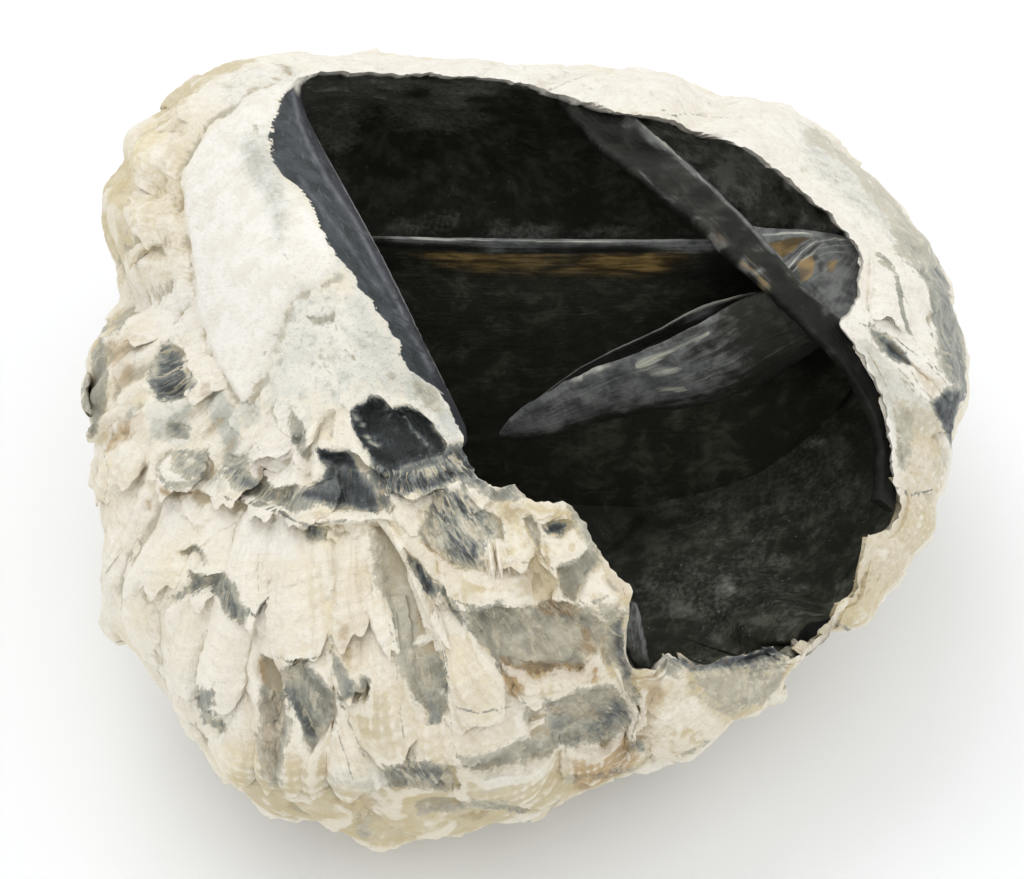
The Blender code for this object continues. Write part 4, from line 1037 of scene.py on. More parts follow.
WHITES = [   # whiter flakes; the rectangular patches are painted light on flakes that lie in shade
    ([(96, 436), (134, 404), (142, 411), (104, 445)], 0.95, 3), (rosette(180, 469, 20, 16, 6), 0.8, 3),
    # painted light on flakes in shade, here and in the rectangles below
    ([(146, 284), (196, 284), (200, 334), (152, 334)], 0.8, 8), ([(244, 444), (294, 444), (294, 480), (250, 478)], 0.8, 8),
    ([(236, 506), (296, 514), (298, 560), (240, 560)], 0.8, 10), ([(196, 500), (236, 504), (236, 560), (196, 560)], 0.4, 12),
    ([(290, 290), (350, 300), (380, 360), (340, 400), (280, 390)], 0.7, 14),
    ([(180, 300), (290, 290), (292, 400), (200, 400)], 0.40, 16), ([(238, 440), (300, 440), (300, 490), (240, 486)], 0.5, 8),
    ([(160, 470), (196, 470), (196, 540), (160, 540)], 0.6, 10), ([(84, 400), (140, 400), (140, 460), (90, 460)], 0.5, 10),
    ([(262, 408), (304, 408), (304, 448), (264, 448)], 0.7, 8), ([(92, 550), (134, 550), (138, 624), (98, 624)], 0.6, 10),
    ([(124, 282), (152, 282), (152, 322), (126, 322)], 0.6, 8), ([(120, 500), (290, 520), (290, 640), (240, 740), (180, 720), (110, 620)], 0.35, 20),
]
COOLS = [   # a cold grey cast over the white; a few patches between plates are painted shade
    ([(340, 290), (362, 296), (386, 330), (404, 352), (412, 372), (440, 390), (452, 410), (462, 440), (442, 440), (424, 410), (396, 396),
      (378, 388), (356, 350)], 0.55, 9),
    ([(400, 366), (420, 372), (446, 398), (462, 436), (448, 440), (430, 414), (404, 398)], 1.0, 5),
    ([(849, 336), (868, 335), (900, 371), (929, 403), (944, 430), (912, 440), (893, 430), (883, 403), (871, 377), (858, 352)], 0.70, 6),
    ([(940, 440), (953, 444), (952, 470), (938, 486), (928, 470)], 0.6, 6),
    ([(207, 392), (220, 390), (237, 410), (238, 452), (226, 456), (212, 430)], 1.0, 4),
    ([(239, 398), (250, 402), (262, 394), (262, 424), (250, 429), (240, 428)], 0.7, 3),
    ([(146, 402), (192, 402), (194, 440), (186, 448), (150, 438)], 0.85, 6),
    ([(300, 556), (330, 540), (350, 560), (330, 590)], 0.3, 9),
    ([(200, 470), (222, 474), (226, 494), (206, 490)], 0.7, 5),
    ([(232, 142), (268, 128), (290, 196), (284, 250), (270, 236), (262, 206)], 0.75, 16),
    ([(280, 770), (560, 770), (560, 820), (380, 850), (300, 820)], 0.65, 12),
    ([(364, 520), (386, 520), (400, 560), (388, 570), (372, 548)], 0.6, 8),
    ([(316, 508), (366, 516), (366, 560), (330, 550)], 0.35, 12),
    ([(380, 340), (408, 352), (414, 390), (396, 392)], 0.5, 10),
    ([(796, 120), (862, 170), (930, 250), (912, 262), (860, 216), (806, 168)], 0.6, 10),
    ([(852, 330), (872, 345), (894, 380), (880, 380), (862, 352)], 0.5, 8),
    ([(270, 456), (300, 460), (300, 484), (272, 470)], 0.3, 8),
    # painted shade between plates: these four patches and the last one
    ([(352, 690), (392, 690), (398, 744), (364, 744)], 0.45, 7),
    ([(280, 764), (326, 766), (330, 806), (282, 806)], 0.45, 8),
    ([(436, 766), (486, 766), (486, 802), (440, 802)], 0.45, 8),
    ([(410, 538), (450, 546), (452, 580), (412, 576)], 0.50, 7),
    ([(230, 70), (300, 60), (304, 84), (262, 92), (214, 108)], 0.45, 8),
    ([(540, 640), (584, 640), (584, 672), (540, 672)], 0.50, 7),
]
CRACKS = [   # path, half width, strength: fine dark lines
    ([(283, 253), (296, 270), (298, 284), (286, 322), (266, 354), (261, 377)], 1.1, 0.40),
    ([(878, 254), (895, 267), (902, 296), (904, 317), (910, 336)], 3.2, 0.75),
    ([(896, 488), (913, 494), (934, 491)], 1.6, 0.85),
    ([(836, 622), (846, 630), (861, 632)], 2.0, 0.8),
    ([(454, 708), (477, 714), (500, 708), (524, 704)], 1.2, 0.7),
    ([(226, 497), (250, 503), (280, 513), (292, 519), (312, 524), (345, 520)], 1.6, 0.75),
    ([(248, 612), (256, 617), (262, 606), (268, 600)], 1.6, 0.8),
    ([(276, 657), (300, 664), (320, 658), (331, 652)], 1.2, 0.7),
    ([(178, 492), (200, 492), (208, 484)], 2.0, 0.55),
    ([(553, 569), (572, 562), (587, 551)], 1.2, 0.5),
    ([(571, 601), (592, 606), (612, 596)], 1.2, 0.6),
    ([(334, 650), (338, 690), (342, 704), (356, 740), (366, 760)], 1.5, 0.5),
    ([(374, 560), (384, 572), (392, 610), (396, 640)], 1.4, 0.55),
    ([(462, 622), (480, 640), (500, 668), (522, 700)], 1.5, 0.55),
    ([(402, 408), (410, 424), (420, 438), (430, 448)], 1.2, -0.6),
    ([(354, 416), (362, 420), (366, 434), (372, 442), (380, 446)], 1.5, -0.9),
    ([(388, 404), (394, 420), (398, 436)], 1.0, -0.4),
    ([(864, 321), (896, 338), (930, 366), (948, 388)], 1.3, 0.45),
    ([(900, 378), (918, 394), (935, 411), (946, 432), (954, 454)], 1.2, 0.50),
    ([(896, 250), (915, 273), (927, 283), (931, 306), (936, 338), (939, 369), (950, 384)], 1.1, 0.40),
    ([(866, 309), (880, 316), (893, 322), (907, 330), (924, 354), (938, 371), (950, 384)], 1.0, 0.45),
    ([(868, 331), (884, 346), (900, 371), (915, 388), (930, 404), (942, 423), (952, 447)], 1.0, 0.55),
    ([(830, 330), (850, 338), (866, 334)], 1.0, 0.45),
    ([(320, 304), (330, 316), (346, 350), (358, 362)], 1.0, 0.40),
    ([(327, 310), (318, 340), (326, 360), (332, 385)], 1.0, 0.35),
    ([(444, 646), (450, 700), (452, 740), (458, 760)], 1.4, 0.55),
    ([(437, 602), (452, 628), (482, 642), (500, 672), (522, 703)], 1.3, 0.50),
    ([(446, 600), (480, 607), (502, 604), (522, 613), (548, 602), (566, 598), (586, 604), (610, 598)], 1.3, 0.55),
    ([(536, 520), (536, 548), (552, 568)], 1.4, 0.50),
    ([(498, 574), (512, 562), (530, 562), (538, 550)], 1.2, 0.40),
    ([(559, 598), (560, 570), (556, 566)], 1.2, 0.40),
    ([(632, 608), (626, 640), (634, 680), (642, 700), (632, 740)], 1.6, 0.50),
    ([(564, 740), (566, 758), (580, 770)], 1.2, 0.35),
    ([(672, 684), (684, 676), (700, 700)], 1.0, 0.25),
    ([(208, 452), (212, 470), (206, 486), (186, 496), (164, 486)], 1.5, 0.50),
    ([(249, 430), (260, 420), (276, 416), (290, 422), (292, 440), (280, 452), (262, 450), (249, 438)], 0.9, 0.35),
    ([(362, 520), (380, 540), (392, 566)], 1.2, 0.50),
    ([(858, 322), (878, 336), (900, 360), (930, 398)], 1.1, 0.45),
    ([(896, 470), (912, 462), (936, 476)], 1.0, 0.35),
    ([(938, 348), (956, 342), (972, 346)], 1.1, 0.45),
    ([(290, 664), (284, 690), (280, 730), (276, 780)], 1.6, 0.55),
    ([(330, 700), (338, 730), (352, 780)], 1.4, 0.50),
    ([(384, 600), (392, 640), (400, 690), (404, 740)], 1.2, 0.35),
    ([(100, 440), (108, 470), (104, 500)], 1.6, 0.35),
    ([(262, 540), (258, 580), (262, 612)], 1.0, 0.25),
    ([(700, 766), (672, 770), (640, 782), (600, 796)], 1.4, 0.45),
    ([(560, 800), (540, 814), (500, 828), (450, 838)], 1.3, 0.35),
    ([(186, 230), (190, 256), (193, 280)], 1.2, 0.35),
    ([(238, 404), (246, 400), (256, 380), (262, 372)], 1.3, 0.55),
    ([(660, 108), (672, 114), (700, 116), (722, 118), (735, 118)], 1.1, 0.55),
]


def outer_masks(p, info, low):
    """Shares at points p of the outside: (grey, dark, tan), (yellow, pink, cool) and how white they are."""
    uv, seen = to_sheet(p), info["seen"]
    wob = np.stack([2.2 * noise(p, 0.8, 101) + 4.0 * noise(p, 2.4, 102), 2.2 * noise(p, 0.8, 103) + 4.0 * noise(p, 2.4, 104)], 1)

    def spread(table, least=0.0, wide=1.0):
        m = np.zeros(len(p))
        for corners, strength, feather in table:
            if feather >= least:
                f = feather * wide
                m = np.maximum(m, strength * smooth(depth_in(uv + wob * min(1.0, feather / 4.0), corners), -f, f))
        return m * seen

    quiet = info["crest"]
    crisp = [g for g in GREYS if g[2] < 6] + [(g[0], g[1] * 0.7, g[2]) for g in DARKS]
    grey = np.zeros(len(p))
    cover = np.zeros(len(p))
    for corners, strength, feather in crisp:
        deep = depth_in(uv + wob * min(1.0, feather / 4.0), corners)
        edge = 3.0 + 1.5 * feather
        grey = np.maximum(grey, strength * (0.55 + 0.45 * smooth(deep, -2, 8)) * smooth(deep, -14, -6) * seen)
        cover = np.maximum(cover, smooth(deep, -edge, edge) * seen * (0.74 + 0.26 * float(smooth(np.array(strength), 0.35, 0.60))))
    for corners, strength, feather in LIGHTS:
        grey = grey * (1 - strength * smooth(depth_in(uv + wob, corners), -feather, feather))
    veil = spread([g for g in GREYS if g[2] >= 6])
    dark = spread(DARKS)
    for path, half, strength in CRACKS:
        near = np.exp(-(path_distance(uv + 0.5 * wob, path) / half) ** 2) * seen
        if strength > 0:
            grey = np.maximum(grey, strength * near ** 0.3)
            cover = np.maximum(cover, near * (0.9 if strength > 0.6 else 0.62))
        else:
            grey, dark = grey * (1 + strength * near), dark * (1 + strength * near)
    stray = smooth(layered(p, 5.0, 3, 111), 0.0, 0.40) * low * (1 - quiet) * (1 - 0.75 * seen)
    spots = smooth(noise(p, 2.6, 113), 0.35, 0.75) * smooth(noise(p, 13.0, 115), -0.1, 0.4) * (1 - seen)
    away_side = np.maximum(0.85 * stray, 0.75 * spots)
    grey, cover = np.maximum(grey, away_side), np.maximum(cover, smooth(away_side, 0.15, 0.6))
    dark = np.maximum(dark, 0.55 * smooth(noise(p, 3.0, 117), 0.45, 0.8) * stray)
    tan = np.clip(spread(TANS) + 0.8 * info["fringe"] * (0.5 + 0.5 * noise(p, 3.0, 119)) + 0.30 * low
                  + 0.25 * smooth(layered(p, 9.0, 2, 121), 0.0, 0.6) * (1 - info["crest"]) * (1 - 0.7 * info["right"]), 0, 1)
    yellow = np.clip(spread(YELLOWS) + 0.55 * smooth(layered(p, 7.0, 3, 123), 0.05, 0.5) * (1 - quiet) * (1 - 0.6 * info["right"]), 0, 1)
    pink = np.clip(spread(PINKS) + 0.45 * smooth(layered(p, 6.0, 3, 125), 0.05, 0.5) * low * (1 - quiet), 0, 1)
    white = np.clip(info["crest"] + info["right"] * 0.8 + info["top"] * 0.8 + spread(WHITES), 0, 1)
    return (grey, dark, tan), (yellow, pink, np.maximum(0.8 * spread(COOLS), veil)), white, cover


def extra_masks(p, uv, seen, crevice_shade):
    """Crevice shade (painted), curled texture and brown (stain, and painted shadow in places) at points p of the
    outside.
    """
    wob = np.stack([2.5 * noise(p, 0.9, 151) + 5.0 * noise(p, 2.6, 152), 2.5 * noise(p, 0.9, 153) + 5.0 * noise(p, 2.6, 154)], 1)
    found = []
    for table in (CURLED, BROWNS):
        m = np.zeros(len(p))
        for corners, strength, feather in table:
            m = np.maximum(m, strength * smooth(depth_in(uv + wob, corners), -feather, feather) * seen)
        found.append(m)
    return np.stack([crevice_shade, found[0], found[1]])


def paint_outer(obj, masks, tints, zones, forms, growth, more):
    paint(obj, "more", more)
    paint(obj, "masks", np.stack(masks))
    paint(obj, "tints", np.stack(tints))
    paint(obj, "zones", np.stack(zones))
    paint(obj, "forms", np.stack(forms))
    vec = obj.data.attributes.new(name="growth", type="FLOAT_VECTOR", domain="POINT")
    vec.data.foreach_set("vector", np.stack(growth, 1).astype(np.float32).ravel())


def paint_wall(obj):
    """Masks on the thinned wall: inside or out, grey, dark, tan, height and growth place."""
    side, lip, across, _ = read_paint(obj, "where").T
    crevice_shade = read_paint(obj, "crevice_shade")[:, 0]
    p = vertex_places(obj)
    d = unit(p)
    info = outer_detail(d)
    uv = to_sheet(p)
    relief = np.linalg.norm(p, axis=1) - body_radius(d)
    low = smooth(-info["h"], 0.1, 0.9) * info["strength"]
    masks, tints, white, cover = outer_masks(p, info, low)
    inner = (side > 0.999).astype(float)
    # Painted light in the hollow: its lining is painted paler at the lower right and the upper left.
    painted_light_and_seam = (smooth(uv[:, 0], 540, 700) * smooth(uv[:, 1], 440, 560) + 0.6 * smooth(600 - uv[:, 0], 0, 100) * smooth(230 - uv[:, 1], 0, 60)) * inner
    blotch = np.zeros(len(p))
    for x, y, wide, high, much in BLOTCHES:
        near = ((uv[:, 0] - x) / wide) ** 2 + ((uv[:, 1] - y) / high) ** 2 + 0.9 * layered(p, 1.2 if wide < 20 else 3.5, 3, 141)
        blotch = np.maximum(blotch, much * smooth(near, 1.3, 0.2))
    white = np.where(inner > 0, blotch, white)
    seam = np.maximum(np.exp(-(path_distance(uv, LIP_SEAM) / 1.7) ** 2),
                      0.6 * np.exp(-(path_distance(uv, LIP_SEAM_TWO) / 1.4) ** 2))
    # Along the lip's broken edge the same channel carries the pale seams instead.
    painted_light_and_seam = np.where((lip > 0.3) & (side < 0.999), seam, painted_light_and_seam)
    past = smooth((uv[:, 0] - np.interp(uv[:, 1], [95, 120, 160, 190, 215, 262, 300, 370], [293, 300, 318, 332, 350, 375, 396, 432])), -2, 4)
    white = np.where((lip > 0.3) & (side < 0.999), past, white)
    paint_outer(obj, masks, tints, (side, lip, info["speckled"]), (cover, white, painted_light_and_seam),
                (info["turn"] * 30, info["r"], relief), extra_masks(p, uv, info["seen"], crevice_shade))
    vec = obj.data.attributes.new(name="edges", type="FLOAT_VECTOR", domain="POINT")
    vec.data.foreach_set("vector", np.stack([side, across, 0 * side], 1).astype(np.float32).ravel())


def flake_grid(start, end, wide_a, wide_b, rise, swell, bend, cols, rows, seed, petal=0.0):
    """A flake's points: start and end are directions, widths in mm. Returns top and under faces and (s, t)."""
    ahead = unit(end - start)
    side = unit(np.cross(start + end, ahead))
    s = np.linspace(-1, 1, cols)[None, :]
    t = np.linspace(0, 1, rows)[:, None]
    size = np.linalg.norm(end - start) * 40.0
    rng = np.random.default_rng(seed)
    lobes = rng.uniform(1.4, 2.6)
    phase = rng.uniform(0, 6.3)
    nib = np.stack([np.linspace(-1, 1, cols) * max(wide_b, 1.0), np.full(cols, seed * 1.7), np.zeros(cols)], 1)
    jag = 0.06 * np.sin(lobes * math.pi * s[0] + phase) + 0.20 / max(size, 2) * (
        1.2 * noise(nib, 2.0, seed) + 0.45 * noise(nib, 0.7, seed + 1) + 0.35 * noise(nib, 0.25, seed + 2))
    reach = 1 - 0.16 * s**2 - 0.10 * np.abs(s) ** 6 + jag[None]
    tt = t * reach
    width = (wide_a + (wide_b - wide_a) * np.clip(tt, 0, 1) ** 0.75) / 2 * (1 - petal * smooth(tt, 0.55, 1.1) ** 2)
    edge = np.stack([np.zeros(rows), np.linspace(0, 1, rows) * size, np.full(rows, seed * 2.3)], 1)
    width = width * (1 + 0.10 * np.sign(s) * noise(edge, 3.0, seed + 3)[:, None] + 0.05 * noise(edge, 0.8, seed + 4)[:, None])
    mid = start + (end - start) * tt[..., None] + side * ((bend * np.sin(math.pi * np.clip(tt, 0, 1)) + s * width) / 40.0)[..., None]
    d = unit(mid)
    flat = d.reshape(-1, 3)
    at = flat * 38.0
    ribs = (0.07 * np.sin(s * width * 7.5 + phase + 1.5 * noise(at, 2.5, seed + 5).reshape(rows, cols))
            * (0.4 + 0.6 * noise(at, 3.0, seed + 6).reshape(rows, cols)))
    rings_ = 0.06 * np.sin(tt * size * 6.0 + 2 * noise(at, 3.0, seed + 7).reshape(rows, cols)) * smooth(tt, 0.2, 0.6)
    bumps = 0.09 * layered(at, 1.6, 3, seed + 8).reshape(rows, cols) + 0.16 * noise(at, 3.2, seed + 9).reshape(rows, cols)
    # One side stands, the other runs down into the face beneath.
    drop_a, drop_b = rng.uniform(0.25, 0.75), rng.uniform(0.9, 1.5)
    if rng.uniform(0, 1) < 0.5:
        drop_a, drop_b = drop_b, drop_a
    fall = np.where(s < 0, drop_a, drop_b)
    sides = 1 - fall * (1 - 0.35 * smooth(tt, 0.5, 1.0)) * np.abs(s) ** 2.2
    up = -0.6 + (rise + 0.6) * smooth(tt, -0.05, 0.80) * sides + 0.5 * swell * (1 - s**2) * smooth(tt, 0.0, 0.45) * (1 - 0.55 * smooth(tt, 0.7, 1.05))
    ridge = rng.uniform(-0.6, 0.6)
    up = up + 0.22 * np.clip(1 - np.abs(s - ridge) / 0.9, 0, 1) * smooth(tt, 0.1, 0.5) + ribs + rings_ + bumps
    thick = 0.28 + 0.10 * noise(at, 1.5, seed + 10).reshape(rows, cols) + 0.9 * (1 - np.clip(tt, 0, 1)) ** 1.5
    border = np.minimum(np.minimum((1 - np.abs(s)) * cols / 4.0, (1 - t) * rows / 3.0), 1.0)
    thick = thick * (0.35 + 0.65 * np.sqrt(np.clip(border, 0, 1)))
    return d, up, thick, np.broadcast_to(s, up.shape), np.broadcast_to(np.clip(tt, 0, 1.1), up.shape)


def bared(p):
    """Where the outer layer has come away from the grey silica under it."""
    uv = to_sheet(p)
    wob = np.stack([2.2 * noise(p, 0.8, 101) + 4.0 * noise(p, 2.4, 102), 2.2 * noise(p, 0.8, 103) + 4.0 * noise(p, 2.4, 104)], 1)
    facing = (unit(p / np.array([HALF_WIDTH, HALF_LENGTH, HALF_HEIGHT]) ** 2) * unit(SIGHT - p)).sum(1)
    m = np.zeros(len(p))
    for corners, strength, feather in GREYS + DARKS:
        if strength > 0.5 and feather < 6:
            m = np.maximum(m, smooth(depth_in(uv + wob * min(1.0, feather / 4.0), corners), -1.5, 1.5))
    return m * smooth(facing, -0.05, 0.12)


def off_the_rim(d, up):
    """Points that would hang over the break are drawn back to just outside it and sunk."""
    p = d * body_radius(d)[:, None]
    uv = to_sheet(p)
    depth = depth_in(uv, BREAK)
    over = np.where((depth > -16) & ((unit(p) * unit(SIGHT - p)).sum(1) > 0))[0]
    if not len(over):
        return d, up
    poly = np.asarray(BREAK, float)
    best, place_, way = np.full(len(over), 1e9), np.zeros((len(over), 2)), np.zeros((len(over), 2))
    q = uv[over]
    for a, b in zip(poly, np.roll(poly, -1, axis=0)):
        e = b - a
        t = np.clip(((q - a) @ e) / max(e @ e, 1e-9), 0, 1)
        foot = a + t[:, None] * e
        gap = np.linalg.norm(q - foot, axis=1)
        closer = gap < best
        best = np.where(closer, gap, best)
        place_ = np.where(closer[:, None], foot, place_)
        way = np.where(closer[:, None], np.array([-e[1], e[0]]) / np.linalg.norm(e), way)
    hidden = smooth(depth[over], -16, -9)
    d, up = d.copy(), up.copy()
    pull = np.where(depth[over] > -8)[0]
    if len(pull):
        old = d[over[pull]]
        new, met = old.copy(), np.zeros(len(pull), bool)
        for gap in (8.0, 5.0, 3.0, 1.0):
            q = place_[pull] + gap * way[pull]
            ways = unit(on_body(q))
            near = np.linalg.norm(to_sheet(ways * body_radius(ways)[:, None]) - q, axis=1) < 2.0
            near &= (ways * old).sum(1) > 0.6
            new = np.where((near & ~met)[:, None], ways, new)
            met |= near
        d[over[pull]] = new
    up[over] = up[over] * (1 - hidden) + 0.10 * hidden
    return d, up


def make_flakes(name, flakes, material, most=150000, fine=1.0):
    """Closed flakes, joined into one piece. Each: directions, widths, rise, swell, bend, tan, grey, seed."""
    verts, faces, extra, crevice_shades = [], [], [], []
    total = 0
    fine *= 1.0
    for start, end, wide_a, wide_b, rise, swell, bend, tan, grey, seed, cut in flakes:
        size = np.linalg.norm(end - start) * 40.0
        cols = int(np.clip(max(wide_a, wide_b) * 7.0, 12, 46) * fine) + 4
        rows = int(np.clip(size * 4.2, 14, 50) * fine) + 4
        d, up, thick, s, t = flake_grid(start, end, wide_a, wide_b, rise, swell, bend, cols, rows, seed, cut)
        shape = up.shape
        d, up = off_the_rim(d.reshape(-1, 3), up.ravel())
        up = up.reshape(shape)
        base = body_radius(d)
        if not grey:
            up = up - bared(d * base[:, None]).reshape(shape) * (up + 1.5)
        top = d * (base + up.ravel())[:, None]
        under = d * (base + (up - thick).ravel())[:, None]
        verts += [top, under]
        upper = grid_faces(shape[0], shape[1], total, around=False)
        lower = grid_faces(shape[0], shape[1], total + len(top), around=False)[:, ::-1]
        ring = ([(0, j) for j in range(cols)] + [(i, cols - 1) for i in range(1, rows)]
                + [(rows - 1, j) for j in range(cols - 2, -1, -1)] + [(i, 0) for i in range(rows - 2, 0, -1)])
        a = np.array([total + i * cols + j for i, j in ring])
        b = np.roll(a, -1)
        wall_ = np.stack([a, a + len(top), b + len(top), b], 1)
        faces += [upper, lower, wall_]
        one = np.stack([s.ravel(), t.ravel(), np.full(s.size, tan), np.full(s.size, grey), up.ravel(), np.zeros(s.size)], 1)
        two = one.copy()
        two[:, 5] = 1
        extra += [one, two]
        crevice_shades += [crevice(up, 2, 5, False).ravel(), np.full(s.size, 0.5)]
        total += 2 * len(top)
    verts, faces, extra = np.concatenate(verts), np.concatenate(faces), np.concatenate(extra)
    obj = mesh_object(name, verts, faces.tolist(), material)
    paint(obj, "form_a", extra[:, (0, 1, 2)].T)
    paint(obj, "form_b", extra[:, (3, 4, 5)].T)
    crevice_shades = np.concatenate(crevice_shades)
    paint(obj, "crevice_shade", np.stack([crevice_shades, crevice_shades, crevice_shades]))
    thin_out(obj, most, open_to_view(obj) * (1 - 0.6 * extra[:, 5]))
    extra = np.concatenate([read_paint(obj, "form_a")[:, :3], read_paint(obj, "form_b")[:, :3]], axis=1)
    p = vertex_places(obj)
    info = outer_detail(unit(p))
    info["fringe"] = np.exp(-((1 - extra[:, 1]) / 0.05) ** 2) * 0.9
    under = extra[:, 5]
    (grey, dark, tan), tints, white, cover = outer_masks(p, info, 0.8 * smooth(extra[:, 1], 0.35, 0.0) + 0.5 * under)
    own = np.maximum(smooth(layered(p, 2.2, 3, 133), -0.45, 0.55), smooth(extra[:, 3], 0.85, 0.95))
    grey = np.maximum(grey, extra[:, 3] * own * 0.9)
    cover = np.maximum(cover, smooth(extra[:, 3] * own, 0.15, 0.5))
    tan = np.clip(0.6 * tan + 0.7 * extra[:, 2] * (0.55 + 0.45 * own), 0, 1)
    crevice_shade = read_paint(obj, "crevice_shade")[:, 0]
    # Beside a flake's root and at its flanks shade is painted in, with the crevice dirt; its free edge is painted
    # lighter.
    crevice_shade = np.clip(crevice_shade + 0.18 * smooth(extra[:, 1], 0.22, 0.0) + 0.25 * smooth(np.abs(extra[:, 0]), 0.80, 1.0) * smooth(extra[:, 1], 0.95, 0.6)
                  - 0.30 * np.exp(-((1 - extra[:, 1]) / 0.06) ** 2) * (1 - under), 0, 1)
    paint_outer(obj, (grey, dark, tan), tints, (0 * grey, 0 * grey, info["speckled"] * 0.8), (cover, white, 0 * grey),
                (info["turn"] * 30, info["r"], extra[:, 4]), extra_masks(p, to_sheet(p), info["seen"], crevice_shade))
    return obj


def drawn_flakes(table, seed):
    a = unit(on_body([(f[0], f[1]) for f in table]))
    b = unit(on_body([(f[2], f[3]) for f in table]))
    room = depth_in(np.array([(f[2], f[3]) for f in table], float), OUTLINE)
    out = []
    for i, f in enumerate(table):
        k = float(np.clip(0.35 + room[i] / 60.0, 0.4, 0.8))
        broad = 1.22 if f[5] > 20 else 1.0
        out.append((a[i], b[i], broad * f[4] / SCALE, broad * f[5] / SCALE, f[6] * k, f[7] * k, f[8] / SCALE, f[9], f[10],
                    seed + 13 * i, 0.15))
    return out


def growth_point(r, turn):
    """The direction that growth_place() gives r and turn for."""
    axis = unit(on_body([CREST_AT]))[0]
    side = unit(np.cross(axis, UP))
    ahead = np.cross(side, axis)
    a = np.asarray(r) / 38.0
    return (np.cos(a)[:, None] * axis + np.sin(a)[:, None]
            * (np.sin(turn)[:, None] * side - np.cos(turn)[:, None] * ahead))


def grown_flakes(seed, keep, step=7.0, width=6.0, r_from=12.0, r_to=112.0):
    """Flakes in rows that follow the growth lines, where keep(direction) allows them."""
    rng = np.random.default_rng(seed)
    out = []
    r = r_from
    while r < r_to:
        around = 2 * math.pi * 38.0 * max(math.sin(min(r / 38.0, math.pi - 0.15)), 0.12)
        count = max(5, int(around / width))
        offset = rng.uniform(0, 1)
        for j in range(count):
            turn = (j + offset + rng.uniform(-0.2, 0.2)) / count * 2 * math.pi
            here = r + rng.uniform(-1.5, 1.5)
            long = step * rng.uniform(0.95, 1.7)
            drift = rng.uniform(-0.12, 0.12) * long / 38.0
            w = width * rng.uniform(0.7, 1.35)
            style = rng.uniform(0, 1)
            rise, swell = rng.uniform(0.5, 1.3), rng.uniform(0.2, 0.8)
            tan, grey = rng.uniform(0, 0.5) ** 1.3, (rng.uniform(0.2, 0.8) if rng.uniform(0, 1) < 0.12 else 0.0)
            number = int(rng.integers(1, 90000))
            ends = growth_point(np.array([here, here + long]), np.array([turn, turn + drift]))
            if rng.uniform(0, 1) < 0.86 and keep(ends):
                out.append((ends[0], ends[1], w * (0.35 if style > 0.7 else 0.85), w * 1.05, rise, swell, rng.uniform(-0.5, 0.5),
                            tan, grey, number, rng.uniform(0.1, 0.35)))
        r += step * rng.uniform(0.75, 1.05)
    return out


def sheet_slab(name, edge_a, edge_b, thick_a, thick_b, cols, rows, material, bow=0.0, facing=None, fray_a=0.0, fray_b=0.0,
               rough=0.08, ripple=0.0, seed=0, taper=0.0):
    """A closed slab ruled between two edges, frayed along them and rippled across."""
    a, b = resample(edge_a, cols), resample(edge_b, cols)
    span = unit(b - a)
    a = a - span * (fray_a * (layered(a, 1.6, 3, seed) + 0.5 * layered(a, 0.5, 2, seed + 3)))[:, None]
    b = b + span * (fray_b * (layered(b, 1.6, 3, seed + 1) + 0.5 * layered(b, 0.5, 2, seed + 4)))[:, None]
    v = np.linspace(0, 1, rows)[:, None, None]
    v = v + 0.0
    mid = a[None] * (1 - v) + b[None] * v
    if facing is None:
        normal = unit(np.cross(np.gradient(mid, axis=1), np.gradient(mid, axis=0)))
    else:
        normal = np.broadcast_to(unit(np.asarray(facing, float)), mid.shape)
    flat = mid.reshape(-1, 3)
    along = np.tile(np.linspace(0, 1, cols), rows)
    wave = ripple * np.sin(along * 60 + 3 * noise(flat, 6.0, seed + 6))
    bumps = (rough * layered(flat, 1.5, 3, seed + 5) + wave).reshape(rows, cols, 1)
    ease = smooth(np.linspace(0, 1, cols), 0.0, 1.6 * taper)[None, :, None] if taper else 1.0
    mid = mid + normal * (bow * np.sin(math.pi * v) + bumps) * ease
    rim = np.minimum(np.minimum(v, 1 - v) * rows / 1.6, 1.0)
    half = 0.5 * (thick_a * (1 - v) + thick_b * v) * (0.35 + 0.65 * np.sqrt(np.clip(rim, 0, 1)))
    if taper:
        half = half * (0.18 + 0.82 * smooth(np.linspace(0, 1, cols), 0.0, taper))[None, :, None]
    top, under = mid + normal * half, mid - normal * half
    verts = np.concatenate([top.reshape(-1, 3), under.reshape(-1, 3)])
    upper = grid_faces(rows, cols, 0, around=False)
    lower = grid_faces(rows, cols, rows * cols, around=False)[:, ::-1]
    idx = lambda s, i, j: s * rows * cols + i * cols + j
    ring = ([(0, j) for j in range(cols)] + [(i, cols - 1) for i in range(1, rows)]
            + [(rows - 1, j) for j in range(cols - 2, -1, -1)] + [(i, 0) for i in range(rows - 2, 0, -1)])
    edge = [[idx(0, *p), idx(1, *p), idx(1, *q), idx(0, *q)] for p, q in zip(ring, ring[1:] + ring[:1])]
    obj = mesh_object(name, verts, upper.tolist() + lower.tolist() + edge, material)
    across = np.tile(np.repeat(np.linspace(0, 1, rows), cols), 2)
    lengthwise = np.tile(along, 2)
    return obj, across, lengthwise


def into_wall(points, along, depth=0.55):
    p = np.asarray(points, float)
    along = unit(np.asarray(along, float))
    low, high = np.zeros(len(p)), np.full(len(p), 90.0)
    for _ in range(30):
        middle = (low + high) / 2
        q = p + along * middle[:, None]
        r = np.linalg.norm(q, axis=1)
        d = q / r[:, None]
        inside = r < body_radius(d) - wall(d) * (1 - depth)
        low, high = np.where(inside, middle, low), np.where(inside, high, middle)
    return p + along * ((low + high) / 2)[:, None]


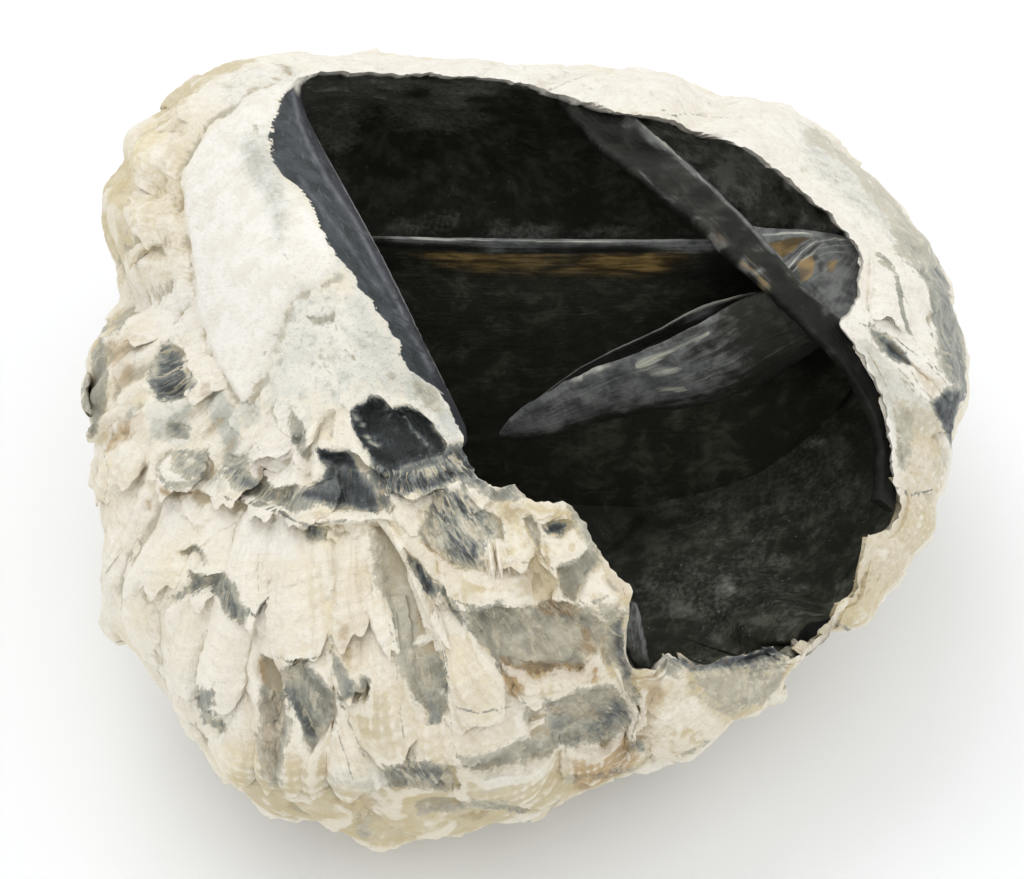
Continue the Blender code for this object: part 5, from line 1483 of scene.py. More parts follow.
def finish_inner(obj, across, lengthwise, pale, amber, deep=0.0, flow=None, lining=0.0):
    """Shares of pale, amber, black and hollow lining on an inner piece, and the way its streaks run."""
    paint(obj, "lining", np.stack([np.clip(lining + 0 * across, 0, 1)] * 3))
    paint(obj, "inner", np.stack([np.clip(pale, 0, 1), np.clip(amber, 0, 1), np.clip(deep + 0 * across, 0, 1)]))
    along, aside = flow if flow is not None else (lengthwise * 40, across * 8)
    vec = obj.data.attributes.new(name="growth", type="FLOAT_VECTOR", domain="POINT")
    vec.data.foreach_set("vector", np.stack([along, aside, 0 * across], 1).astype(np.float32).ravel())


def make_inside(material):
    made = []
    top = resample(lift([(372, 237), (450, 239), (520, 240), (650, 241), (720, 240), (770, 241), (820, 242), (850, 243)],
                        [10, 9.7, 9.5, 9.5, 9.3, 8.0, 4.5, 1.5]), 60)
    drop = np.array([0, 0, -3.0])
    left = into_wall(top[:1], -RIGHT), into_wall(top[:1] + drop, -RIGHT)
    right = into_wall(top[-1:], RIGHT), into_wall(top[-1:] + drop, RIGHT)
    foot = into_wall(top, [0, 0.06, -1])
    obj, across, along = sheet_slab("median_septum", np.concatenate([left[0], top, right[0]]),
                                    np.concatenate([left[1], foot, right[1]]), 0.85, 1.9, 240, 44, material, bow=0.8,
                                    facing=[0, 1, 0.06], fray_a=0.05, rough=0.08, seed=201)
    uv = to_sheet(vertex_places(obj))
    p = vertex_places(obj)
    x, low = uv[:, 0], uv[:, 1] - np.interp(uv[:, 0], [380, 500, 720], [243, 249, 249])
    # A pale highlight line painted along the septum's top edge and a dark shade line painted just under it; amber
    # below, darker towards the foot.
    pale = 0.62 * smooth(low, 1.5, -0.5) * smooth(x, 380, 420) + 0.25 * np.exp(-((low + 6.5) / 2.5) ** 2) * smooth(x, 640, 600)
    pale = pale * smooth(x, 750, 700)
    dark_line = np.exp(-((low - 1.5 - 0.8 * noise(p, 6.0, 9)) / 1.3) ** 2) * smooth(x, 700, 640)
    lower = 12 + 16 * smooth(x, 400, 470) - 8 * smooth(x, 640, 690)
    amber = (smooth(low, 1.5, 4.5) * smooth(low - lower, 6, -10) * (0.42 + 0.42 * np.exp(-((x - 640) / 55) ** 2) + 0.15 * smooth(x, 560, 480))
             * smooth(x, 385, 430) * smooth(x, 716, 655))
    deep = 0.45 * smooth(low, 16, 34) * smooth(uv[:, 1], 340, 290) + dark_line + 0.5 * smooth(x, 660, 720) * smooth(low, 2, 6)
    lining = np.maximum(smooth(uv[:, 1], 330, 430) * smooth(x, 430, 600), 0.62 * smooth(low, 16, 40) * smooth(x, 820, 640))
    finish_inner(obj, across, along, pale, amber, deep, (x / 11.0, low / 11.0 * 2.0), lining)
    made.append(obj)

    keel = lift([(500, 435), (512, 436), (540, 431), (600, 416), (660, 405), (715, 398), (765, 380), (800, 356), (822, 340)],
                [8.0, 7.2, 6.5, 5.5, 5, 5, 6.0, 7.0, 8.0])
    front = lift([(499, 433), (508, 420), (526, 406), (562, 385), (595, 369), (629, 357), (668, 341), (711, 318), (738, 302), (765, 293),
                  (800, 294), (822, 300)],
                 [8.3, 9.0, 9.7, 10.4, 11, 11.5, 12.2, 12.8, 13, 13, 12.3, 11.0])
    rear = lift([(530, 404), (578, 368), (615, 349), (657, 330), (681, 316), (704, 305), (735, 296), (765, 291), (822, 292)],
                [6.0, 6.5, 7.2, 8.2, 9.2, 10, 11.4, 12.0, 10.0])
    keel, front, rear = (resample(c, 60) for c in (keel, front, rear))
    keel[-1:], front[-1:], rear[-1:] = (into_wall(c[-1:], RIGHT, 0.5) for c in (keel, front, rear))
    seat = 0.70 * keel + 0.30 * front
    obj, across, along = sheet_slab("front_blade", front, keel, 0.8, 1.7, 220, 28, material, bow=0.9, facing=[0.1, -1, -0.05],
                                    fray_a=0.10, fray_b=0.25, rough=0.20, ripple=0.03, seed=221, taper=0.10)
    uv = to_sheet(vertex_places(obj))
    # Painted highlight streaks along the front blade's upper part.
    streak = np.exp(-(path_distance(uv, [(640, 364), (650, 359), (680, 347), (708, 334)]) / 3.6) ** 2)
    streak = np.maximum(streak, 0.6 * np.exp(-(path_distance(uv, [(690, 326), (712, 318), (728, 311)]) / 2.0) ** 2))
    streak = streak * smooth(noise(vertex_places(obj), 1.6, 12), -0.55, 0.0)
    x, y = uv[:, 0], uv[:, 1]
    p = vertex_places(obj)
    # Painted light: lit patches and a lit top edge on the blade.
    lit = 0.48 * smooth(x, 780, 600) * smooth(across, 0.95, 0.5) + 0.20 * smooth(across, 0.05, 0.0) * smooth(x, 660, 600)
    lit = lit + 0.26 * np.exp(-((x - 588) / 24) ** 2) * smooth(across, 0.40, 0.05) * smooth(layered(p, 0.9, 2, 14), -0.5, 0.4)
    lit = lit + 0.55 * np.exp(-((x - 664) / 34) ** 2) * np.exp(-((y - 370) / 10) ** 2)
    lit = lit + 0.30 * np.exp(-((x - 684) / 44) ** 2) * np.exp(-((y - 394) / 13) ** 2)
    lit = lit + 0.26 * np.exp(-((x - 722) / 34) ** 2) * np.exp(-((y - 362) / 16) ** 2)
    lit = lit + 0.35 * np.exp(-((x - 680) / 30) ** 2) * np.exp(-((y - 389) / 5) ** 2) * smooth(noise(p, 0.9, 15), -0.4, 0.3)
    lit = lit + 0.45 * np.exp(-((across - 0.97) / 0.04) ** 2) * smooth(x, 570, 540)
    # Painted shade: the blade goes dark towards its lower edge and its right end.
    deep = 0.42 * smooth(across, 0.35, 0.95) * smooth(x, 540, 600) + 0.15 * smooth(x, 720, 790)
    finish_inner(obj, across, along, lit + 1.0 * streak, 0.20 * streak, deep * (1 - streak))
    made.append(obj)
    obj, across, along = sheet_slab("rear_blade", rear, seat, 0.16, 0.8, 180, 60, material, bow=-0.6, facing=[0, -0.88, 0.47],
                                    fray_a=0.05, rough=0.12, ripple=0.03, seed=241)
    uv = to_sheet(vertex_places(obj))
    # The rear blade: a pale line at its top edge and a painted glint; below them its face is painted black as the
    # trough's shade.
    ridge = smooth(across, 0.040, 0.012)
    x = uv[:, 0]
    glint = np.exp(-((x - 700) / 22) ** 2) * smooth(across, 0.30, 0.10)
    finish_inner(obj, across, along, ridge * (0.75 + 0.35 * np.exp(-((x - 690) / 30) ** 2)) * smooth(x, 770, 740) + 0.75 * glint,
                 0.30 * np.exp(-((x - 735) / 20) ** 2) * smooth(across, 0.7, 0.3), 0.95 * smooth(across, 0.03, 0.07) * (1 - 0.7 * glint))
    made.append(obj)

    outer_edge = resample([(600, 92), (622, 100), (634, 116), (658, 138), (691, 168), (719, 193), (750, 224), (780, 260),
                           (805, 291), (840, 320), (860, 349), (878, 380), (890, 413), (897, 447), (897, 478), (890, 512)], 60)
    inner_edge = resample([(530, 84), (548, 92), (572, 122), (603, 152), (640, 182), (670, 206), (703, 232), (734, 264),
                           (765, 291), (789, 313), (811, 336), (838, 362), (858, 390), (871, 420), (878, 452), (876, 500)], 60)
    at = np.arange(60) / 59.0 * 19
    ease = np.clip((at - 15) / 4.0, 0, 1)
    start = np.clip((2.5 - at) / 2.5, 0, 1)
    obj, across, along = sheet_slab("arched_band", on_body(outer_edge, below=1.9 - 0.7 * ease - 1.1 * start),
                                    on_body(inner_edge, below=2.7 - 1.3 * ease - 1.6 * start), 1.0, 1.2, 320, 22, material,
                                    fray_a=0.04, fray_b=0.35, rough=0.20, seed=261)
    uv = to_sheet(vertex_places(obj))
    p = vertex_places(obj)
    line = np.exp(-(path_distance(uv, [(638, 119), (662, 141), (694, 172), (722, 196), (752, 228), (774, 253)]) / 2.0) ** 2)
    line = np.maximum(line, 0.6 * np.exp(-(path_distance(uv, [(640, 171), (658, 190), (674, 204)]) / 1.6) ** 2))
    lit = np.exp(-((along - 0.24) / 0.12) ** 2) * smooth(across, 0.98, 0.5)
    pale = (0.80 * line + 0.14 * lit + 0.55 * np.exp(-((along - 0.14) / 0.08) ** 2) * smooth(across, 0.95, 0.3)
            + 0.45 * smooth(across, 0.80, 1.0) * smooth(noise(p, 0.9, 5), 0.35, 0.7) * smooth(along, 0.65, 0.5)
            + 0.30 * smooth(along, 0.45, 0.6) * smooth(along, 0.85, 0.7) * smooth(noise(p, 1.2, 7), -0.1, 0.5))
    spot = path_distance(uv, [(714, 232), (728, 248), (744, 268), (764, 284)])
    spot = np.exp(-(spot / 9.0) ** 2) * smooth(noise(p, 1.3, 16), -0.5, 0.4)
    fleck = np.maximum(np.exp(-(path_distance(uv, [(734, 254), (743, 259)]) / 1.8) ** 2), np.exp(-(path_distance(uv, [(755, 273), (763, 269)]) / 1.8) ** 2))
    deep = (0.30 + 0.45 * smooth(layered(p, 2.2, 3, 17), -0.3, 0.3) + 0.25 * smooth(along, 0.35, 0.6) - 0.6 * line - 0.8 * spot
            - 0.5 * smooth(noise(p, 1.0, 18), 0.35, 0.7))
    finish_inner(obj, across, along, pale + 0.45 * spot + 0.8 * fleck, 0.45 * spot, deep * smooth(across, 0.0, 0.25))
    made.append(obj)

    upper = on_body(resample([(744, 228), (775, 231), (800, 231), (830, 235), (858, 241), (874, 244)], 60),
                    below=np.interp(np.linspace(0, 1, 60), [0, 0.3, 0.6, 1.0], [3.4, 2.9, 2.2, 1.0]))
    lower = on_body(resample([(762, 268), (782, 292), (805, 316), (828, 334), (852, 328), (868, 316)], 60),
                    below=np.interp(np.linspace(0, 1, 60), [0, 0.4, 0.7, 1.0], [3.6, 3.2, 2.6, 1.0]))
    obj, across, along = sheet_slab("hinge_shelf", upper, lower, 1.0, 1.3, 200, 80, material, bow=0.5, rough=0.10, seed=281)
    uv = to_sheet(vertex_places(obj))
    p = vertex_places(obj)
    straight = uv
    uv = uv + np.stack([1.5 * noise(p, 0.9, 21), 1.5 * noise(p, 0.9, 22)], 1)
    streaks = np.zeros(len(uv))
    for path, half in (([(817, 240), (803, 252), (788, 267)], 1.4), ([(824, 244), (808, 257), (793, 271)], 1.1),
                       ([(852, 240), (835, 238), (818, 242)], 1.6), ([(856, 246), (838, 244), (820, 249)], 1.3),
                       ([(764, 235), (790, 232), (812, 234)], 1.8), ([(846, 252), (830, 252), (820, 256)], 1.2)):
        streaks = np.maximum(streaks, np.exp(-(path_distance(uv, path) / half) ** 2))
    wedge = smooth(depth_in(uv, [(768, 243), (790, 237), (814, 236), (800, 245), (784, 258), (776, 252)]), -2, 3)
    olive = smooth(depth_in(uv, [(796, 264), (812, 254), (816, 262), (812, 278), (800, 284)]), -2, 3)
    olive = np.maximum(olive, smooth(depth_in(uv, [(827, 262), (838, 260), (835, 272), (827, 273)]), -2, 2))
    blot = smooth(depth_in(uv, [(817, 265), (821, 260), (826, 263), (824, 271), (819, 275)]), -3, 3)
    gaps = np.maximum(np.exp(-(path_distance(uv, [(820, 243), (806, 255), (791, 269)]) / 1.1) ** 2),
                      np.exp(-(path_distance(uv, [(812, 240), (798, 250), (784, 262)]) / 1.1) ** 2))
    away = np.hypot(straight[:, 0] - 880, straight[:, 1] - 226)
    around = np.arctan2(straight[:, 1] - 226, 880 - straight[:, 0])
    finish_inner(obj, across, along, np.clip(0.48 + 0.42 * streaks - 0.25 * gaps - 0.3 * wedge, 0, 1), np.clip(0.85 * wedge + 0.60 * olive, 0, 1),
                 0.50 * blot + 0.40 * gaps, (away / 11.0, around * 3.8))
    made.append(obj)

    # A splinter of the inner face that stands in the notch at the front.
    left_edge = resample([(622, 598), (622, 618), (624, 640), (630, 658), (636, 668)], 30)
    right_edge = resample([(636, 604), (641, 618), (645, 640), (648, 656), (649, 668)], 30)
    obj, across, along = sheet_slab("front_splinter", on_body(left_edge, below=1.6), on_body(right_edge, below=2.2), 0.7, 0.5, 40, 14,
                                    material, bow=0.15, fray_b=0.25, rough=0.10, seed=301)
    finish_inner(obj, across, along, 0.22 + 0.3 * np.exp(-((across - 0.75) / 0.12) ** 2), 0 * across)
    made.append(obj)
    return made


# ---------------------------------------------------------------- finishes
def srgb(code):
    c = np.array([int(code[i:i + 2], 16) for i in (1, 3, 5)]) / 255
    lin = np.where(c <= 0.04045, c / 12.92, ((c + 0.055) / 1.055) ** 2.4)
    return (*[float(x) for x in lin], 1.0)


class Nodes:
    """Short names for building a material's nodes."""

    def __init__(self, name):
        self.mat = bpy.data.materials.new(name)
        self.mat.use_nodes = True
        self.tree = self.mat.node_tree
        self.bsdf = self.tree.nodes["Principled BSDF"]

    def put(self, socket, value):
        if isinstance(value, bpy.types.NodeSocket):
            self.tree.links.new(value, socket)
        else:
            socket.default_value = value

    def attribute(self, name, out="Color"):
        node = self.tree.nodes.new("ShaderNodeAttribute")
        node.attribute_name = name
        return node.outputs[out]

    def split(self, colour):
        node = self.tree.nodes.new("ShaderNodeSeparateColor")
        self.put(node.inputs[0], colour)
        return node.outputs[0], node.outputs[1], node.outputs[2]

    def math(self, op, a, b=0.0, clamp=False):
        node = self.tree.nodes.new("ShaderNodeMath")
        node.operation, node.use_clamp = op, clamp
        self.put(node.inputs[0], a)
        self.put(node.inputs[1], b)
        return node.outputs[0]

    def coords(self, scale=(1000, 1000, 1000), vector=None):
        node = self.tree.nodes.new("ShaderNodeMapping")
        if vector is None:
            vector = self.tree.nodes.new("ShaderNodeTexCoord").outputs["Object"]
        self.put(node.inputs["Vector"], vector)
        node.inputs["Scale"].default_value = scale
        return node.outputs[0]

    def noise(self, vector, scale, detail=4.0, rough=0.6, distortion=0.0):
        node = self.tree.nodes.new("ShaderNodeTexNoise")
        self.put(node.inputs["Vector"], vector)
        node.inputs["Scale"].default_value = scale
        node.inputs["Detail"].default_value = detail
        node.inputs["Roughness"].default_value = rough
        node.inputs["Distortion"].default_value = distortion
        return node.outputs[0]

    def voronoi(self, vector, scale, feature="F1"):
        node = self.tree.nodes.new("ShaderNodeTexVoronoi")
        node.feature = feature
        self.put(node.inputs["Vector"], vector)
        node.inputs["Scale"].default_value = scale
        return node.outputs["Distance"]

    def span(self, value, a, b, lo=0.0, hi=1.0):
        node = self.tree.nodes.new("ShaderNodeMapRange")
        node.interpolation_type = "SMOOTHSTEP"
        self.put(node.inputs["Value"], value)
        for key, v in (("From Min", a), ("From Max", b), ("To Min", lo), ("To Max", hi)):
            node.inputs[key].default_value = v
        return node.outputs[0]

    def mix(self, share, a, b):
        node = self.tree.nodes.new("ShaderNodeMix")
        node.data_type = "RGBA"
        self.put(node.inputs[0], share)
        self.put(node.inputs[6], a)
        self.put(node.inputs[7], b)
        return node.outputs[2]

    def blend(self, share, a, b):
        node = self.tree.nodes.new("ShaderNodeMix")
        node.data_type = "FLOAT"
        self.put(node.inputs[0], share)
        self.put(node.inputs[2], a)
        self.put(node.inputs[3], b)
        return node.outputs[0]

    def bump(self, height, strength, distance, normal=None):
        node = self.tree.nodes.new("ShaderNodeBump")
        self.put(node.inputs["Height"], height)
        node.inputs["Strength"].default_value = strength
        node.inputs["Distance"].default_value = distance
        if normal is not None:
            self.put(node.inputs["Normal"], normal)
        return node.outputs[0]


def brown_on_cream(n, brown, shake):
    return n.math("ADD", brown, shake)


def wall_finish():
    n = Nodes("silica_wall")
    at = n.coords()
    grey, dark, tan = n.split(n.attribute("masks"))
    yellow, pink, cool = n.split(n.attribute("tints"))
    side, lip, speck = n.split(n.attribute("zones"))
    cover, white, painted_light_and_seam = n.split(n.attribute("forms"))
    crevice_shade, curled, brown = n.split(n.attribute("more"))
    growth = n.attribute("growth", "Vector")

    broad = n.noise(at, 0.12, 3, 0.55)
    medium = n.noise(at, 0.55, 4, 0.62)
    fine = n.noise(at, 2.2, 3, 0.65)
    grain = n.noise(at, 7.0, 2, 0.6)
    along = n.noise(n.coords((1.6, 0.22, 0.5), growth), 1.0, 4, 0.6, 0.3)     # streaks down the growth direction
    rings = n.noise(n.coords((0.12, 1.5, 0.5), growth), 1.0, 4, 0.6, 0.4)     # bands along the growth lines

    near_crest = n.tree.nodes.new("ShaderNodeSeparateXYZ")
    n.put(near_crest.inputs[0], growth)
    grown = n.span(near_crest.outputs[1], 6.0, 17.0)
    along, rings = n.blend(grown, 0.5, along), n.blend(grown, 0.5, rings)

    def about(value, reach):
        return n.math("MULTIPLY", n.math("SUBTRACT", value, 0.5), reach)

    swirl = n.noise(at, 0.70, 4, 0.66, 1.2)
    drift = n.noise(n.coords((1000, 1000, 1000)), 0.26, 4, 0.62)
    cream = n.mix(n.span(broad, 0.35, 0.65), srgb("#f0e9d8"), srgb("#ebe1cb"))
    cream = n.mix(n.span(medium, 0.45, 0.72), cream, srgb("#f4efe2"))
    cream = n.mix(n.math("MULTIPLY", n.span(drift, 0.50, 0.66), 0.55), cream, srgb("#dcd1b8"))
    cream = n.mix(n.math("MULTIPLY", n.span(swirl, 0.56, 0.70), 0.40), cream, srgb("#cfcabb"))
    cream = n.mix(n.math("MULTIPLY", n.span(along, 0.50, 0.70), 0.50), cream, srgb("#ddd3b8"))
    cream = n.mix(n.math("MULTIPLY", n.span(rings, 0.52, 0.72), 0.35), cream, srgb("#d9cfb8"))
    cream = n.mix(n.math("MULTIPLY", n.span(n.math("ADD", yellow, about(medium, 0.5)), 0.10, 0.90), 0.70), cream, srgb("#e8dab2"))
    cream = n.mix(n.math("MULTIPLY", white, 0.85), cream, n.mix(n.span(medium, 0.40, 0.62), srgb("#f5f3ed"), srgb("#ece7dc")))
    cream = n.mix(n.math("MULTIPLY", n.span(n.math("ADD", pink, about(along, 0.8)), 0.12, 0.85), 0.85), cream,
                  n.mix(n.span(pink, 0.50, 0.92), srgb("#cfbfa4"), srgb("#a08a69")))
    cream = n.mix(n.math("MULTIPLY", n.span(n.math("ADD", cool, n.math("ADD", about(along, 0.5), about(fine, 0.4))), 0.12, 0.80), 0.80), cream,
                  n.mix(n.span(medium, 0.40, 0.62), srgb("#cbcdc4"), srgb("#adb0a6")))
    tanned = n.math("ADD", tan, about(fine, 0.9))
    cream = n.mix(n.math("MULTIPLY", n.span(tanned, 0.18, 0.80), 0.80), cream,
                  n.mix(n.span(medium, 0.4, 0.6), srgb("#cab88c"), srgb("#d2c5a4")))
    # Brown on the cream: stain, with painted shadow in places.
    cream = n.mix(n.math("MULTIPLY", n.span(brown_on_cream(n, brown, about(medium, 1.0)), 0.20, 0.85), 0.85), cream,
                  n.mix(n.span(medium, 0.40, 0.62), srgb("#c0a47a"), srgb("#a98e66")))
    # Painted shade, with some dirt, in the crevices in a dark tan grey, and a painted highlight on the ridges.
    cream = n.mix(n.math("MULTIPLY", n.span(n.math("ADD", crevice_shade, n.math("ADD", about(medium, 0.35), about(fine, 0.25))), 0.60, 0.98), 0.72), cream,
                  n.mix(n.span(broad, 0.42, 0.58), srgb("#a89672"), srgb("#a39c86")))
    cream = n.mix(n.math("MULTIPLY", n.span(n.math("ADD", crevice_shade, about(fine, 0.2)), 0.42, 0.16), 0.55), cream, srgb("#f6f1e4"))
    cream = n.mix(n.math("MULTIPLY", n.math("MULTIPLY", n.span(n.math("ADD", medium, about(fine, 0.4)), 0.50, 0.60), speck), 0.30), cream, srgb("#ccd0c6"))
    cream = n.mix(n.math("MULTIPLY", speck, n.span(drift, 0.40, 0.60, 0.15, 0.55)), cream, srgb("#dfe0d8"))
    pores = n.math("ADD", n.math("MULTIPLY", fine, 0.6), n.math("MULTIPLY", grain, 0.4))
    flecks = n.math("MULTIPLY", n.span(pores, 0.55, 0.64), n.math("ADD", n.math("MULTIPLY", speck, 0.30), 0.12))
    cream = n.mix(flecks, cream, srgb("#a3a5a0"))

    # Bared silica: pale at its borders, blue-grey, then slate, with cream veins along the growth.
    ash = n.math("ADD", grey, dark)
    held = n.span(ash, 0.15, 0.55)
    cloud = n.noise(at, 0.34, 3, 0.55, 1.2)
    wisp = n.noise(n.coords((1.1, 0.30, 0.5), growth), 1.0, 4, 0.62, 1.4)
    wisp = n.blend(grown, cloud, wisp)
    shaken = n.math("ADD", n.math("ADD", about(cloud, 1.7), about(wisp, 1.0)), n.math("ADD", about(medium, 0.6), about(fine, 0.25)))
    curl = n.noise(n.coords((1.15, 0.42, 0.5), growth), 1.0, 3, 0.52, 1.1)
    shaken = n.math("ADD", shaken, n.math("MULTIPLY", curled, about(curl, 3.2)))
    ash = n.math("ADD", ash, n.math("MULTIPLY", held, shaken))
    ramp = n.tree.nodes.new("ShaderNodeValToRGB")
    stops = ((0.00, "#d6d0bd"), (0.16, "#c0bcab"), (0.32, "#a4a396"), (0.48, "#868982"), (0.62, "#686d6c"), (0.80, "#44494b"),
             (1.00, "#2b2e2e"))
    ramp.color_ramp.elements[0].position, ramp.color_ramp.elements[0].color = stops[0][0], srgb(stops[0][1])
    ramp.color_ramp.elements[1].position, ramp.color_ramp.elements[1].color = stops[-1][0], srgb(stops[-1][1])
    for position, code in stops[1:-1]:
        stop = ramp.color_ramp.elements.new(position)
        stop.color = srgb(code)
    n.put(ramp.inputs[0], n.math("MULTIPLY", n.math("SUBTRACT", ash, 0.06), 0.58, clamp=True))
    glass = n.mix(n.math("MULTIPLY", n.span(n.math("ADD", tan, about(cloud, 1.6)), 0.2, 0.8), n.span(dark, 0.5, 0.1, 0.0, 0.38)),
                  ramp.outputs[0], srgb("#a89c80"))
    # Brown on the bared silica: stain, with painted shadow in places.
    brown_on_glass = n.math("ADD", brown, n.math("ADD", about(wisp, 0.9), about(fine, 0.3)))
    glass = n.mix(n.math("MULTIPLY", n.span(brown_on_glass, 0.20, 0.80), 0.85), glass, n.mix(n.span(medium, 0.40, 0.62), srgb("#a3875f"), srgb("#83745a")))
    flecked = n.math("MULTIPLY", n.span(n.noise(n.coords((1.5, 0.40, 0.5), growth), 1.0, 3, 0.52, 0.9), 0.53, 0.60), n.span(curled, 0.15, 0.6))
    veins = n.math("MAXIMUM", n.math("MULTIPLY", flecked, 0.90), n.math("MULTIPLY", n.span(wisp, 0.555, 0.66), 0.75))
    veins = n.math("MULTIPLY", veins, n.span(dark, 0.6, 0.15, 0.0, 0.90))
    glass = n.mix(veins, glass, n.mix(n.span(fine, 0.4, 0.6), srgb("#d8d0ba"), srgb("#c4b99c")))
    grey_here = n.span(n.math("ADD", cover, n.math("ADD", about(fine, 0.45), n.math("ADD", about(medium, 1.0), about(wisp, 0.9)))), 0.36, 0.66)
    colour = n.mix(grey_here, cream, glass)

    # The hollow: near-black, with faint paler mottling and specks, and painted light where its lining is paler.
    mottle = n.span(n.noise(at, 0.30, 5, 0.72, 0.5), 0.46, 0.70)
    hollow = n.mix(mottle, srgb("#3c3d34"), srgb("#68695b"))
    hollow = n.mix(n.math("MULTIPLY", n.math("MULTIPLY", painted_light_and_seam, n.span(medium, 0.42, 0.62, 0.15, 0.85)), n.span(drift, 0.40, 0.62)), hollow, srgb("#878879"))
    hollow = n.mix(n.math("MULTIPLY", n.span(n.math("ADD", white, n.math("MULTIPLY", about(n.math("ADD", n.math("MULTIPLY", fine, 0.5), n.math("MULTIPLY", medium, 0.5)), 1.6), n.span(white, 0.0, 0.3))), 0.05, 0.90), 0.92), hollow,
                   n.mix(n.span(n.math("ADD", white, about(medium, 1.2)), 0.62, 0.95), srgb("#b4b5ab"), srgb("#f1f0e9")))
    specks = n.math("MULTIPLY", n.span(n.voronoi(n.coords((1000, 1000, 1000)), 1.5), 0.18, 0.05),
                    n.math("MULTIPLY", n.span(fine, 0.48, 0.62), n.math("ADD", n.math("MULTIPLY", painted_light_and_seam, 0.8), 0.25)))
    hollow = n.mix(specks, hollow, srgb("#c4c5c0"))
    # The broken edge on the left: slate, lined along its own length.
    lines = n.noise(n.coords((13.0, 0.6, 0.0), n.attribute("edges", "Vector")), 1.0, 4, 0.6, 0.2)
    slab = n.mix(n.span(medium, 0.35, 0.68), n.mix(white, srgb("#2f3436"), srgb("#26272b")), n.mix(white, srgb("#474d50"), srgb("#3c3d45")))
    slab = n.mix(n.math("MULTIPLY", n.span(lines, 0.54, 0.70), 0.35), slab, srgb("#7e8285"))
    slab = n.mix(n.math("MULTIPLY", painted_light_and_seam, n.span(medium, 0.25, 0.50, 0.2, 0.55)), slab, srgb("#8b8d92"))
    crusted = n.math("MULTIPLY", n.span(n.math("ADD", n.math("MULTIPLY", fine, 0.5), n.math("MULTIPLY", medium, 0.5)), 0.50, 0.42), 0.06)
    within = n.span(n.math("SUBTRACT", side, crusted), 0.020, 0.050)
    broken = n.mix(n.span(side, 0.15, 0.5), n.mix(0.5, cream, srgb("#d8d4c8")), srgb("#191a18"))
    strip = n.mix(n.span(lip, 0.3, 0.6), broken, slab)
    colour = n.mix(within, colour, strip)
    colour = n.mix(n.span(side, 0.90, 0.99), colour, hollow)
    n.put(n.bsdf.inputs["Base Color"], colour)

    inside = n.span(side, 0.5, 0.95)
    rough = n.blend(grey_here, n.span(fine, 0.3, 0.7, 0.58, 0.78), 0.45)
    rough = n.blend(inside, rough, n.span(medium, 0.35, 0.65, 0.50, 0.72))
    n.put(n.bsdf.inputs["Roughness"], rough)
    n.bsdf.inputs["Specular IOR Level"].default_value = 0.35
    relief = n.math("ADD", n.math("MULTIPLY", fine, 0.5), n.math("ADD", n.math("MULTIPLY", along, 0.9), n.math("MULTIPLY", rings, 0.7)))
    relief = n.math("ADD", relief, n.math("MULTIPLY", grain, 0.25))
    relief = n.math("ADD", relief, n.math("MULTIPLY", medium, 0.9))
    relief = n.math("MULTIPLY", relief, n.span(side, 0.5, 0.95, 1.0, 0.40))
    n.put(n.bsdf.inputs["Normal"], n.bump(relief, 0.65, 0.00045))
    return n.mat


def inner_finish():
    n = Nodes("dark_inside")
    at = n.coords()
    pale, amber, deep = n.split(n.attribute("inner"))
    growth = n.attribute("growth", "Vector")
    fine = n.noise(at, 1.7, 5, 0.65)
    medium = n.noise(at, 0.5, 5, 0.65, 0.3)
    streak = n.noise(n.coords((0.14, 2.2, 1.0), growth), 1.0, 5, 0.62, 0.3)
    def about(value, reach):
        return n.math("MULTIPLY", n.math("SUBTRACT", value, 0.5), reach)

    dark = n.mix(n.span(medium, 0.42, 0.70), srgb("#25261f"), srgb("#3b3c33"))
    dark = n.mix(n.math("MULTIPLY", n.span(streak, 0.52, 0.74), 0.25), dark, srgb("#5a5c59"))
    slate = n.mix(n.span(medium, 0.35, 0.65), srgb("#4d4f4f"), srgb("#717371"))
    slate = n.mix(n.math("MULTIPLY", n.span(streak, 0.50, 0.72), 0.45), slate, srgb("#8d908c"))
    bright = n.mix(n.span(streak, 0.40, 0.62), srgb("#8c8e86"), srgb("#bfc0b2"))
    rub = n.math("ADD", n.math("MULTIPLY", about(medium, 0.8), 1.0), about(streak, 0.8))
    colour = n.mix(n.span(n.math("ADD", pale, rub), 0.05, 0.60), dark, slate)
    colour = n.mix(n.span(n.math("ADD", pale, about(streak, 0.3)), 0.70, 0.95), colour, bright)
    soft = n.noise(n.coords((0.30, 0.9, 1.0), growth), 1.0, 3, 0.5, 0.4)
    gold = n.mix(n.span(n.math("ADD", soft, about(streak, 0.45)), 0.34, 0.70), srgb("#4a3b20"), srgb("#9c8250"))
    colour = n.mix(n.span(n.math("ADD", amber, n.math("ADD", about(streak, 0.25), about(soft, 0.5))), 0.08, 0.90), colour, gold)
    colour = n.mix(n.span(n.math("ADD", deep, about(medium, 0.4)), 0.10, 0.85), colour, srgb("#151512"))
    lining, _, _ = n.split(n.attribute("lining"))
    mottle = n.span(n.noise(at, 0.30, 5, 0.72, 0.5), 0.46, 0.70)
    colour = n.mix(n.span(n.math("ADD", lining, n.math("MULTIPLY", about(medium, 0.8), n.span(lining, 0.0, 0.2))), 0.02, 0.98), colour,
                   n.mix(mottle, srgb("#434439"), srgb("#727365")))
    n.put(n.bsdf.inputs["Base Color"], colour)
    n.put(n.bsdf.inputs["Roughness"], n.span(fine, 0.3, 0.7, 0.42, 0.66))
    n.bsdf.inputs["Specular IOR Level"].default_value = 0.24
    n.put(n.bsdf.inputs["Normal"], n.bump(n.math("ADD", fine, streak), 0.5, 0.0003))
    return n.mat


